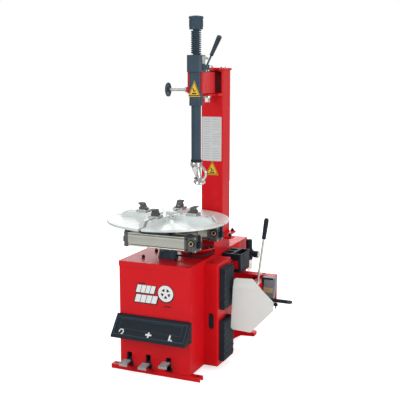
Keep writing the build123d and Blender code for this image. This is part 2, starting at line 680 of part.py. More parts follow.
BELT_T = GROOVE_D - 2 * GAP
with BuildPart() as drive_belt:
    with BuildSketch(FACE.offset(-BELT_Y - GROOVE_W / 2 + GAP)):
        for growth, mode in ((BELT_T, Mode.ADD), (0, Mode.SUBTRACT)):
            with BuildSketch(mode=mode):
                with Locations((WORM_X, WORM_Z)):
                    Circle(BIG_PULLEY_R - GROOVE_D + GAP + growth)
                with Locations((WORM_X, MOTOR_Z)):
                    Circle(SMALL_PULLEY_R - GROOVE_D + GAP + growth)
                make_hull()
    extrude(amount=GROOVE_W - 2 * GAP)
save(drive_belt.part, "drive_belt")

# ---- Bead breaker cylinder inside the cabinet -------------------------------------------
BREAKER_CAP_T = 22.0
BREAKER_BARREL = 2 * BODY_X - 105
with BuildPart() as breaker_cylinder:
    with BuildSketch(SIDE.offset(BODY_X - SHEET)):
        with Locations((BREAKER_Y, BREAKER_Z)):
            RectangleRounded(2 * BREAKER_CYL_R, 2 * BREAKER_CYL_R, 24)
    extrude(amount=-BREAKER_CAP_T)
    with BuildSketch(SIDE.offset(BODY_X - SHEET - BREAKER_CAP_T)):
        with Locations((BREAKER_Y, BREAKER_Z)):
            Circle(BREAKER_CYL_R - 4)
    extrude(amount=-BREAKER_BARREL)
    with BuildSketch(SIDE.offset(BODY_X - SHEET - BREAKER_CAP_T - BREAKER_BARREL)):
        with Locations((BREAKER_Y, BREAKER_Z)):
            RectangleRounded(2 * BREAKER_CYL_R, 2 * BREAKER_CYL_R, 24)
    extrude(amount=-14)
    with BuildSketch(SIDE.offset(BODY_X - SHEET)):
        with Locations((BREAKER_Y, BREAKER_Z)):
            Circle(BREAKER_ROD_R + FIT)
    extrude(amount=-250, mode=Mode.SUBTRACT)
save(breaker_cylinder.part, "breaker_cylinder")

# ---- Air hoses between the tee on the pedestal and the drive neck -----------------------
HOSE_R = 4.0
TEE = (186.0, PEDESTAL_Y0 - 14.0, CABINET_TOP + 36.0)
HOSE_ROUTES = (
    ((NECK_R - 3.5, 0, CABINET_TOP + 14), (112, 0, CABINET_TOP + 14),
     (168, 84, CABINET_TOP + 22), (TEE[0] - 4, TEE[1] - 12, TEE[2])),
    ((35, 39, CABINET_TOP + 30), (66, 82, CABINET_TOP + 26),
     (122, 110, CABINET_TOP + 34), (TEE[0] - 12, TEE[1] - 2, TEE[2])),
)


def bend_radii(points):
    """Radius of the arc at each inner corner, from the shorter run beside it."""
    radii = []
    for before, here, after in zip(points, points[1:], points[2:]):
        run_in = Vector(*here) - Vector(*before)
        run_out = Vector(*after) - Vector(*here)
        half_turn = radians(run_in.get_angle(run_out) / 2)
        radii.append(0.45 * min(run_in.length, run_out.length) / tan(half_turn))
    return radii


hose_length = 0.0
with BuildPart() as air_hoses:
    for route in HOSE_ROUTES:
        radii = bend_radii(route)
        print("air hose bend radii", [round(radius, 1) for radius in radii])
        with BuildLine(FLOOR):
            hose_path = FilletPolyline(*route, radius=radii)
        hose_length += hose_path.length
        with BuildSketch(Plane(origin=hose_path @ 0, z_dir=hose_path % 0)):
            Circle(HOSE_R)
        sweep(path=hose_path)
save(air_hoses.part, "air_hoses")
hose_section = pi * HOSE_R ** 2
print("air hose volume over section times length", air_hoses.part.volume / hose_section / hose_length)

with BuildPart() as hose_tee:
    with BuildSketch(FLOOR.offset(TEE[2] - 9)):
        with Locations((TEE[0], TEE[1] + 2)):
            Rectangle(16, 24)
    extrude(amount=18)
    with BuildSketch(FACE.offset(-PEDESTAL_Y0)):
        with Locations((TEE[0], TEE[2])):
            Circle(8)
    extrude(amount=14)
save(hose_tee.part, "hose_tee")

# ---- Turntable --------------------------------------------------------------------------
with BuildPart() as turntable_disc:
    with BuildSketch(FLOOR.offset(DISC_UNDER)):
        Circle(DISC_R)
        with PolarLocations((SLOT_START + DISC_R + 20) / 2, 4):
            Rectangle(DISC_R + 20 - SLOT_START, SLOT_W, mode=Mode.SUBTRACT)
    extrude(amount=DISC_T)
    fillet(turntable_disc.edges().filter_by(GeomType.CIRCLE).group_by(Axis.Z)[-1], 2)
save(turntable_disc.part, "turntable_disc")

with BuildPart() as jaw_guides:
    for turn in range(4):
        side = FACE.rotated((0, 0, 90 * turn)).offset(-GUIDE_W / 2)
        with BuildSketch(side):
            Polygon((GUIDE_IN, DISC_TOP), (GUIDE_OUT + GUIDE_RAMP, DISC_TOP),
                    (GUIDE_OUT, GUIDE_TOP), (GUIDE_IN, GUIDE_TOP), align=None)
        extrude(amount=GUIDE_W)
    with BuildSketch(FLOOR.offset(DISC_TOP)):
        with PolarLocations((SLOT_START + DISC_R) / 2, 4):
            Rectangle(DISC_R - SLOT_START, SLOT_W)
    extrude(amount=GUIDE_H, mode=Mode.SUBTRACT)
save(jaw_guides.part, "jaw_guides")

JAW_NAMES = ("jaw_right", "jaw_rear", "jaw_left", "jaw_front")
TONGUE_W = SLOT_W - 2 * GAP
for turn, jaw_name in enumerate(JAW_NAMES):
    side = FACE.rotated((0, 0, 90 * turn))
    with BuildPart() as jaw:
        with BuildSketch(side.offset(-GUIDE_W / 2 + 4)):
            with Locations((JAW_R, GUIDE_TOP + GAP + JAW_BASE_H / 2)):
                Rectangle(JAW_L, JAW_BASE_H)
        extrude(amount=GUIDE_W - 8)
        with BuildSketch(side.offset(-TONGUE_W / 2)):
            with Locations((JAW_R, (GUIDE_TOP + GAP + DISC_UNDER - GAP) / 2)):
                Rectangle(JAW_L - 16, GUIDE_TOP - DISC_UNDER + 2 * GAP)
        extrude(amount=TONGUE_W)
        with BuildSketch(side.offset(-GUIDE_W / 2 + 10)):
            with Locations((JAW_R, DISC_UNDER - GAP - JAW_NUT_T / 2)):
                Rectangle(JAW_L - 10, JAW_NUT_T)
        extrude(amount=GUIDE_W - 20)
        with BuildSketch(side.offset(-17)):
            top = GUIDE_TOP + GAP + JAW_BASE_H
            Polygon((JAW_R - 28, top), (JAW_R + 22, top), (JAW_R + 22, top + 12),
                    (JAW_R + 14, top + 18), (JAW_R + 27, top + JAW_CLAMP_H - 4),
                    (JAW_R + 20, top + JAW_CLAMP_H), (JAW_R - 8, top + JAW_CLAMP_H - 8),
                    (JAW_R - 2, top + 14), align=None)
        extrude(amount=34)
    save(jaw.part, jaw_name)

with BuildPart() as cylinder_carrier:
    with BuildSketch(FLOOR.offset(CARRIER_LOW)):
        Rectangle(150, 2 * JAW_CYL_Y + JAW_CAP)
        Rectangle(250, 110)
    extrude(amount=CARRIER_T)
    with BuildSketch(FLOOR.offset(CARRIER_LOW + CARRIER_T)):
        Circle(SPINDLE_R + 14)
    extrude(amount=DISC_UNDER - CARRIER_LOW - CARRIER_T)
    with BuildSketch(FLOOR.offset(CARRIER_LOW - 80)):
        Circle(SPINDLE_R + 14)
    extrude(amount=80)
    with BuildSketch(FLOOR.offset(CARRIER_LOW - 80)):
        Circle(SPINDLE_R)
    extrude(amount=DISC_UNDER - CARRIER_LOW + 80, mode=Mode.SUBTRACT)
    for saddle_x in (-60, 60):
        with BuildSketch(FLOOR.offset(CARRIER_LOW)):
            with Locations((saddle_x, -JAW_CYL_Y), (saddle_x, JAW_CYL_Y)):
                Rectangle(SADDLE_L, SADDLE_W)
        extrude(amount=JAW_CYL_Z + JAW_CYL_R - SADDLE_WRAP - CARRIER_LOW)
    for side_y in (-JAW_CYL_Y, JAW_CYL_Y):
        with BuildSketch(SIDE):
            with Locations((side_y, JAW_CYL_Z)):
                Circle(JAW_CYL_R)
        extrude(amount=90, both=True, mode=Mode.SUBTRACT)
save(cylinder_carrier.part, "cylinder_carrier")

with BuildPart() as jaw_cylinders:
    for side_y in (-JAW_CYL_Y, JAW_CYL_Y):
        with BuildSketch(SIDE.offset(JAW_CAP_LEFT_X)):
            with Locations((side_y, JAW_CYL_Z)):
                RectangleRounded(JAW_CAP, JAW_CAP, 8)
        extrude(amount=JAW_CAP_LEFT_T)
        with BuildSketch(SIDE.offset(JAW_CAP_LEFT_X + JAW_CAP_LEFT_T)):
            with Locations((side_y, JAW_CYL_Z)):
                Circle(JAW_CYL_R)
        extrude(amount=JAW_CAP_RIGHT_X - JAW_CAP_RIGHT_T - JAW_CAP_LEFT_X - JAW_CAP_LEFT_T)
        with BuildSketch(SIDE.offset(JAW_CAP_RIGHT_X)):
            with Locations((side_y, JAW_CYL_Z)):
                RectangleRounded(JAW_CAP, JAW_CAP, 8)
        extrude(amount=-JAW_CAP_RIGHT_T)
save(jaw_cylinders.part, "jaw_cylinders")

with BuildPart() as cylinder_fittings:
    for cap_x, way in ((JAW_CAP_LEFT_X, -1), (JAW_CAP_RIGHT_X, 1)):
        with BuildSketch(SIDE.offset(cap_x)):
            with Locations((-JAW_CYL_Y, JAW_CYL_Z - 6), (JAW_CYL_Y, JAW_CYL_Z - 6)):
                Rectangle(26, 30)
        extrude(amount=way * 20)
        with BuildSketch(FLOOR.offset(JAW_CYL_Z + 9)):
            with Locations((cap_x + way * 11, -JAW_CYL_Y), (cap_x + way * 11, JAW_CYL_Y)):
                Circle(7)
        extrude(amount=34)
save(cylinder_fittings.part, "cylinder_fittings")

# ---- Swing arm --------------------------------------------------------------------------
with BuildPart() as swing_arm:
    with BuildSketch(ARM_FRAME.offset(ARM_LOW)):
        Circle(ARM_HALF_W)
        with Locations(((ARM_LEN + ARM_TIP) / 2, 0)):
            Rectangle(ARM_LEN + ARM_TIP, 2 * ARM_HALF_W)
        with Locations(((ARM_LEN + ARM_TIP) / 2 + 20, 0)):
            Rectangle(ARM_LEN + ARM_TIP - 38, 2 * (ARM_HALF_W - ARM_PLATE), mode=Mode.SUBTRACT)
        with Locations((ARM_LEN + ARM_TIP, 0)):
            Rectangle(20, 2 * (ARM_HALF_W - ARM_PLATE), mode=Mode.SUBTRACT)
        Circle(PIN_R + FIT, mode=Mode.SUBTRACT)
    extrude(amount=ARM_HIGH - ARM_LOW)
    with BuildSketch(Plane(origin=ARM_FRAME.from_local_coords((ARM_LEN, -ARM_HALF_W, SCREW_Z)),
                           z_dir=ARM_FRAME.y_dir)):
        Circle(SCREW_R + 7)
    extrude(amount=-8)
    with BuildSketch(Plane(origin=ARM_FRAME.from_local_coords((ARM_LEN, -ARM_HALF_W, SCREW_Z)),
                           z_dir=ARM_FRAME.y_dir)):
        Circle(SCREW_R + FIT)
    extrude(amount=20, both=True, mode=Mode.SUBTRACT)
save(swing_arm.part, "swing_arm")

SLEEVE_HALF = ARM_HALF_W - ARM_PLATE
with BuildPart() as arm_sleeve:
    with BuildSketch(TOOL_FRAME.offset(SLEEVE_LOW)):
        RectangleRounded(2 * SLEEVE_HALF, 2 * SLEEVE_HALF, SLEEVE_CORNER)
        RegularPolygon(HEX_HOLE / 2, 6, major_radius=False, mode=Mode.SUBTRACT)
    extrude(amount=ARM_HIGH - SLEEVE_LOW)
    with BuildSketch(Plane(origin=TOOL_FRAME.from_local_coords((0, -SLEEVE_HALF, SCREW_Z)),
                           z_dir=ARM_FRAME.y_dir)):
        Circle(SCREW_R + GAP)
    extrude(amount=20, both=True, mode=Mode.SUBTRACT)
save(arm_sleeve.part, "arm_sleeve")

with BuildPart() as lock_block:
    with BuildSketch(TOOL_FRAME.offset(ARM_HIGH)):
        Rectangle(BLOCK_W, BLOCK_W)
        chamfer(vertices(), BLOCK_CHAMFER)
        RegularPolygon(HEX_HOLE / 2, 6, major_radius=False, mode=Mode.SUBTRACT)
    extrude(amount=BLOCK_TOP - ARM_HIGH)
    for lug_x in (-LEVER_HUB / 2 - GAP - LUG_T, LEVER_HUB / 2 + GAP):
        with BuildSketch(Plane(origin=TOOL_FRAME.from_local_coords((lug_x, 0, LEVER_Z)),
                               x_dir=ARM_FRAME.y_dir, z_dir=ARM_FRAME.x_dir)):
            with Locations(((BLOCK_W / 2 - 2 + LEVER_Y + 12) / 2, 0)):
                Rectangle(LEVER_Y + 14 - BLOCK_W / 2, 26)
        extrude(amount=LUG_T)
    with BuildSketch(Plane(origin=TOOL_FRAME.from_local_coords((0, LEVER_Y, LEVER_Z)),
                           z_dir=ARM_FRAME.x_dir)):
        Circle(LEVER_PIN_R)
    extrude(amount=LEVER_HUB / 2 + GAP + LUG_T, both=True)
save(lock_block.part, "lock_block")

LEVER_DIR = (ARM_FRAME.y_dir * sin(radians(LEVER_TILT)) + Vector(0, 0, 1) * cos(radians(LEVER_TILT)))
LEVER_FOOT = TOOL_FRAME.from_local_coords((0, LEVER_Y, LEVER_Z))
with BuildPart() as lock_lever:
    with BuildSketch(Plane(origin=LEVER_FOOT, z_dir=ARM_FRAME.x_dir)):
        Circle(11)
    extrude(amount=LEVER_HUB / 2, both=True)
    with BuildSketch(Plane(origin=LEVER_FOOT, z_dir=LEVER_DIR)):
        Circle(5)
    extrude(amount=70)
    with BuildSketch(Plane(origin=LEVER_FOOT + LEVER_DIR * 66, z_dir=LEVER_DIR)):
        Circle(9)
    extrude(amount=108, taper=-2.2)
    fillet(lock_lever.edges().filter_by(GeomType.CIRCLE).sort_by(Axis.Z)[-1:], 6)
    with BuildSketch(Plane(origin=LEVER_FOOT, z_dir=ARM_FRAME.x_dir)):
        Circle(LEVER_PIN_R + FIT)
    extrude(amount=LEVER_HUB, both=True, mode=Mode.SUBTRACT)
save(lock_lever.part, "lock_lever")

screw_plane = Plane(origin=TOOL_FRAME.from_local_coords((0, -HEX_AF / 2 - 3, SCREW_Z)),
                    z_dir=-ARM_FRAME.y_dir)
SCREW_LEN = ARM_HALF_W + SCREW_OUT - HEX_AF / 2 - 3
with BuildPart() as clamp_screw:
    with BuildSketch(screw_plane):
        Circle(SCREW_R)
    extrude(amount=SCREW_LEN + HANDWHEEL_T)
    with BuildSketch(screw_plane.offset(SCREW_LEN)):
        Circle(HANDWHEEL_R)
        with PolarLocations(HANDWHEEL_R + 3, 8):
            Circle(8, mode=Mode.SUBTRACT)
    extrude(amount=HANDWHEEL_T)
save(clamp_screw.part, "clamp_screw")

# ---- Tool shaft: hexagon bar, round stem, cap, return spring and mount head -------------
with BuildPart() as hex_shaft:
    with BuildSketch(TOOL_FRAME.offset(HEX_LOW)):
        RegularPolygon(HEX_AF / 2, 6, major_radius=False)
    extrude(amount=HEX_HIGH - HEX_LOW)
    with BuildSketch(TOOL_FRAME.offset(HEX_HIGH)):
        Circle(STEM_R)
    extrude(amount=CAP_LOW - HEX_HIGH)
save(hex_shaft.part, "hex_shaft")

with BuildPart() as shaft_cap:
    with BuildSketch(TOOL_FRAME.offset(CAP_LOW)):
        Circle(CAP_R)
    extrude(amount=CAP_H)
    with BuildSketch(TOOL_FRAME.offset(CAP_LOW + CAP_H - 12)):
        Circle(CAP_R + 3)
    extrude(amount=12)
    chamfer(shaft_cap.edges().filter_by(GeomType.CIRCLE).group_by(Axis.Z)[-1], 3)
    with BuildSketch(TOOL_FRAME.offset(CAP_LOW + CAP_H)):
        Circle(16)
    extrude(amount=5, taper=45)
save(shaft_cap.part, "shaft_cap")

SPRING_LEN = CAP_LOW - BLOCK_TOP
SPRING_PITCH = SPRING_LEN / SPRING_TURNS
with BuildPart() as return_spring:
    with BuildSketch(TOOL_FRAME.offset(BLOCK_TOP)):
        Circle(SPRING_R)
        Circle(SPRING_R - SPRING_WIRE / 2, mode=Mode.SUBTRACT)
    extrude(amount=SPRING_LEN)
    for turn in range(SPRING_TURNS):
        ring_low = BLOCK_TOP + turn * SPRING_PITCH + (SPRING_PITCH - SPRING_WIRE) / 2
        with BuildSketch(TOOL_FRAME.offset(ring_low)):
            Circle(SPRING_R + SPRING_WIRE / 2)
            Circle(SPRING_R - SPRING_WIRE / 4, mode=Mode.SUBTRACT)
        extrude(amount=SPRING_WIRE)
save(return_spring.part, "return_spring")

with BuildPart() as mount_head:
    with BuildSketch(TOOL_FRAME.offset(HEX_LOW)):
        Circle(HEAD_R)
    extrude(amount=-HEAD_H)
    with BuildSketch(TOOL_FRAME.offset(HEX_LOW - HEAD_H)):
        Ellipse(26, 20)
    with BuildSketch(TOOL_FRAME.offset(HEX_LOW - 92)):
        with Locations((-2, 16)):
            Ellipse(18, 13)
    loft()
    with BuildSketch(TOOL_FRAME.offset(HEX_LOW - 118)):
        with Locations((2, 22)):
            SlotOverall(104, 24)
    extrude(amount=30)
    fillet(mount_head.edges().group_by(Axis.Z)[0], 5)
    with BuildSketch(Plane(origin=TOOL_FRAME.from_local_coords((0, 34, HEX_LOW - 52)),
                           z_dir=ARM_FRAME.x_dir, x_dir=ARM_FRAME.y_dir)):
        SlotOverall(84, 44, rotation=90)
        SlotOverall(58, 20, rotation=90, mode=Mode.SUBTRACT)
    extrude(amount=9, both=True)
save(mount_head.part, "mount_head")

# ---- Foot pedals on one shaft, each above its valve -------------------------------------
with BuildPart() as pedal_shaft:
    with BuildSketch(SIDE.offset(-BODY_X + SHEET)):
        with Locations((PEDAL_SHAFT_Y, PEDAL_SHAFT_Z)):
            Circle(PEDAL_SHAFT_R)
    extrude(amount=2 * (BODY_X - SHEET))
save(pedal_shaft.part, "pedal_shaft")

for pedal_x, rise, pedal_name in zip(PEDAL_X, PEDAL_RISE, PEDAL_NAMES):
    with BuildPart() as pedal:
        with BuildSketch(SIDE.offset(pedal_x - PEDAL_T / 2)):
            with Locations((PEDAL_SHAFT_Y, PEDAL_SHAFT_Z)):
                Circle(PEDAL_H / 2 + 5)
            Polygon((PEDAL_SHAFT_Y, PEDAL_SHAFT_Z - PEDAL_H / 2),
                    (PEDAL_SHAFT_Y, PEDAL_SHAFT_Z + PEDAL_H / 2),
                    (PEDAL_FRONT, PEDAL_SHAFT_Z + rise + PEDAL_H / 2),
                    (PEDAL_FRONT, PEDAL_SHAFT_Z + rise - PEDAL_H / 2), align=None)
            with Locations((PEDAL_SHAFT_Y + 20, PEDAL_SHAFT_Z)):
                Rectangle(40, PEDAL_H - 6)
            with Locations((PEDAL_SHAFT_Y, PEDAL_SHAFT_Z)):
                Circle(PEDAL_SHAFT_R + FIT, mode=Mode.SUBTRACT)
        extrude(amount=PEDAL_T)
        tread = Plane(origin=(pedal_x, AXIS_Y + PEDAL_FRONT - 8, PEDAL_SHAFT_Z + rise + PEDAL_H / 2 - 3),
                      x_dir=(1, 0, 0),
                      z_dir=(0, -sin(radians(TREAD_TILT)), cos(radians(TREAD_TILT))))
        with BuildSketch(tread):
            RectangleRounded(TREAD_W, TREAD_L, 4)
        extrude(amount=TREAD_T)
    save(pedal.part, pedal_name)

with BuildPart() as foot_valves:
    for pedal_x in PEDAL_X:
        with BuildSketch(FLOOR.offset(RAIL_H + SHEET)):
            with Locations((pedal_x, PEDAL_SHAFT_Y + 78)):
                Rectangle(44, 64)
        extrude(amount=96)
save(foot_valves.part, "foot_valves")

# ---- Bead breaker: fixed beam with its hinge pin, arm, cover, blade, handle and rod -----
with BuildPart() as breaker_beam:
    for plate_z in (BEAM_LOW, BEAM_TOP - BEAM_PLATE):
        with BuildSketch(FLOOR.offset(plate_z)):
            with Locations(((BODY_X + BEAM_END) / 2, (BEAM_Y0 + BEAM_Y1) / 2)):
                Rectangle(BEAM_END - BODY_X, BEAM_Y1 - BEAM_Y0)
        extrude(amount=BEAM_PLATE)
    with BuildSketch(FLOOR.offset(BEAM_LOW)):
        with Locations(((BODY_X + BEAM_END) / 2, BEAM_Y1 - BEAM_PLATE / 4)):
            Rectangle(BEAM_END - BODY_X, BEAM_PLATE / 2)
        with Locations(((BODY_X + HINGE_X) / 2 - 30, BEAM_Y0 + BEAM_PLATE / 4)):
            Rectangle(HINGE_X - BODY_X - 60, BEAM_PLATE / 2)
    extrude(amount=BEAM_TOP - BEAM_LOW)
    with BuildSketch(FLOOR.offset(BEAM_LOW)):
        with Locations((HINGE_X, HINGE_Y)):
            Circle(HINGE_PIN_R)
    extrude(amount=BEAM_TOP - BEAM_LOW + 8)
    with BuildSketch(SIDE.offset(BODY_X)):
        with Locations(((BEAM_Y0 + BEAM_Y1) / 2, (BRACKET_LOW - 40 + BEAM_TOP) / 2)):
            Rectangle(BEAM_Y1 - BEAM_Y0, BEAM_TOP - BRACKET_LOW + 40)
    extrude(amount=BEAM_PLATE)
    with BuildSketch(FACE.offset(-BEAM_Y0 - 44)):
        Polygon((BODY_X, BRACKET_LOW - 40), (BODY_X + 16, BRACKET_LOW - 40),
                (BODY_X + 84, BRACKET_LOW), (BRACKET_END, BRACKET_LOW + 4),
                (BRACKET_END, BRACKET_LOW + 26), (BODY_X, BRACKET_LOW + 26), align=None)
    extrude(amount=44)
save(breaker_beam.part, "breaker_beam")

ARM_END_Y = BLADE_Y + BLADE_T / 2
with BuildPart() as breaker_arm:
    with BuildSketch(FLOOR.offset(BEAM_GAP_LOW)):
        with Locations((HINGE_X, HINGE_Y)):
            Circle(HUB_R)
        with Locations((HINGE_X, (HINGE_Y + ARM_END_Y) / 2)):
            Rectangle(ARM_W, HINGE_Y - ARM_END_Y)
        with Locations((HINGE_X, HINGE_Y)):
            Circle(HINGE_PIN_R + FIT, mode=Mode.SUBTRACT)
    extrude(amount=BEAM_GAP_HIGH - BEAM_GAP_LOW)
    with BuildSketch(SIDE.offset(HINGE_X - ARM_W)):
        with Locations((BREAKER_Y - 22, BREAKER_Z)):
            SlotOverall(2 * BREAKER_ROD_R + 86, 2 * BREAKER_ROD_R + 8)
    extrude(amount=2 * ARM_W, mode=Mode.SUBTRACT)
save(breaker_arm.part, "breaker_arm")

COVER_X = HINGE_X + ARM_W / 2
with BuildPart() as breaker_cover:
    with BuildSketch(FACE.offset(-COVER_Y1)):
        Polygon((COVER_X, COVER_TOP), (COVER_X + 73, COVER_TOP),
                (COVER_X + 61, COVER_LOW), (COVER_X, COVER_LOW), align=None)
    extrude(amount=COVER_Y1 - COVER_Y0)
    with BuildSketch(FACE.offset(-COVER_Y1)):
        Polygon((COVER_X, COVER_TOP - 4), (COVER_X + 69, COVER_TOP - 4),
                (COVER_X + 57, COVER_LOW + 4), (COVER_X, COVER_LOW + 4), align=None)
    extrude(amount=COVER_Y1 - COVER_Y0 - 4, mode=Mode.SUBTRACT)
save(breaker_cover.part, "breaker_cover")

BLADE_OUTLINE = ((320, 212), (334, 490), (436, 494), (556, 384), (556, 338), (432, 206))
with BuildPart() as breaker_blade:
    with BuildSketch(FACE.offset(-BLADE_Y)):
        Polygon(*BLADE_OUTLINE, align=None)
        fillet(vertices(), 14)
    extrude(amount=40, both=True)
    with BuildSketch(SIDE.offset(300)):
        rise = 80
        lean = rise * tan(radians(BLADE_BEND))
        Polygon((BLADE_Y - BLADE_T / 2, 190), (BLADE_Y + BLADE_T / 2, 190),
                (BLADE_Y + BLADE_T / 2, BLADE_BEND_Z),
                (BLADE_Y + BLADE_T / 2 + lean, BLADE_BEND_Z + rise),
                (BLADE_Y - BLADE_T / 2 + lean, BLADE_BEND_Z + rise),
                (BLADE_Y - BLADE_T / 2, BLADE_BEND_Z), align=None)
    extrude(amount=280, mode=Mode.INTERSECT)
save(breaker_blade.part, "breaker_blade")

HANDLE_FOOT = Vector(HINGE_X + 18, AXIS_Y + 200, BEAM_GAP_HIGH - 10)
HANDLE_TOP = Vector(HINGE_X + 66, AXIS_Y + 200, 797)
HANDLE_DIR = (HANDLE_TOP - HANDLE_FOOT).normalized()
HANDLE_LEN = (HANDLE_TOP - HANDLE_FOOT).length
GRIP_L = 106.0
with BuildPart() as breaker_handle:
    with BuildSketch(Plane(origin=HANDLE_FOOT + HANDLE_DIR * 11, z_dir=HANDLE_DIR)):
        Circle(6)
    extrude(amount=HANDLE_LEN - GRIP_L)
    with BuildSketch(Plane(origin=HANDLE_FOOT + HANDLE_DIR * (HANDLE_LEN - GRIP_L),
                           z_dir=HANDLE_DIR)):
        Circle(11)
    extrude(amount=GRIP_L, taper=-1)
    fillet(breaker_handle.edges().filter_by(GeomType.CIRCLE).sort_by(Axis.Z)[-1:], 6)
save(breaker_handle.part, "breaker_handle")

with BuildPart() as breaker_rod:
    with BuildSketch(SIDE.offset(BODY_X - SHEET - 200)):
        with Locations((BREAKER_Y, BREAKER_Z)):
            Circle(BREAKER_ROD_R)
    extrude(amount=BREAKER_ROD_END - BODY_X + SHEET + 200)
    with BuildSketch(SIDE.offset(ROD_COLLAR_X)):
        with Locations((BREAKER_Y, BREAKER_Z)):
            Circle(16)
    extrude(amount=12)
    with BuildSketch(FLOOR.offset(BREAKER_Z)):
        with Locations((BREAKER_ROD_END + 10, BREAKER_Y)):
            Circle(18)
            Circle(9, mode=Mode.SUBTRACT)
    extrude(amount=5, both=True)
save(breaker_rod.part, "breaker_rod")
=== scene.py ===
"""Looks of a swing-arm tire changer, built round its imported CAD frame."""

import logging
import math
from dataclasses import dataclass
from enum import Enum

import bmesh
import bpy
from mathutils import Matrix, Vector


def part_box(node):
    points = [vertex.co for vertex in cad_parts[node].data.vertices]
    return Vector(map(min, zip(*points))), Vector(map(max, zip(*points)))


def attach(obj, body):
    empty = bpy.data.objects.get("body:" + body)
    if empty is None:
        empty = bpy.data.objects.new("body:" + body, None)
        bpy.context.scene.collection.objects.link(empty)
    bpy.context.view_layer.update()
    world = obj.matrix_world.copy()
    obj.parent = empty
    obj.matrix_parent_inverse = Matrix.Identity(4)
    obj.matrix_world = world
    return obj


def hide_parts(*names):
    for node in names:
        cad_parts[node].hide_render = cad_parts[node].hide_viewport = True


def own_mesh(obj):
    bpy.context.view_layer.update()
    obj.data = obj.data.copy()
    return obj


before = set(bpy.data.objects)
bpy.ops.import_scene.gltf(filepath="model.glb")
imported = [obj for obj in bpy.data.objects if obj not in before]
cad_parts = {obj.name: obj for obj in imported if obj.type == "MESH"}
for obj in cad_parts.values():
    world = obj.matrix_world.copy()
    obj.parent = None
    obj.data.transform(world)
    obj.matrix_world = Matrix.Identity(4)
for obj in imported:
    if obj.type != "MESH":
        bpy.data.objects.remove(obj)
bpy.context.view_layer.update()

LOG = logging.getLogger("tire_changer")
Point = tuple[float, float, float]
Colour = tuple[float, float, float]

X, Y, Z = Vector((1, 0, 0)), Vector((0, 1, 0)), Vector((0, 0, 1))
TABLE_AXIS = Vector((0.0, -0.241, 0.0))
ARM_PIVOT = Vector((0.106, 0.036, 0.0))
PEDAL_PLACES = (("left", -0.149, -0.022), ("centre", -0.038, -0.025), ("right", 0.080, -0.001))


# ---------------------------------------------------------------------------------
# Finishes
# ---------------------------------------------------------------------------------
class Texture(Enum):
    """The kind of small relief a finish has."""

    ORANGE_PEEL = "orange peel of a powder coat"
    GRAIN = "fine grain of moulded plastic"
    CAST = "rough skin of a casting"
    BRUSHED = "straight brushing along X"
    TURNED = "rings and streaks about the turntable's axis"
    RUBBER = "dull rubber skin"


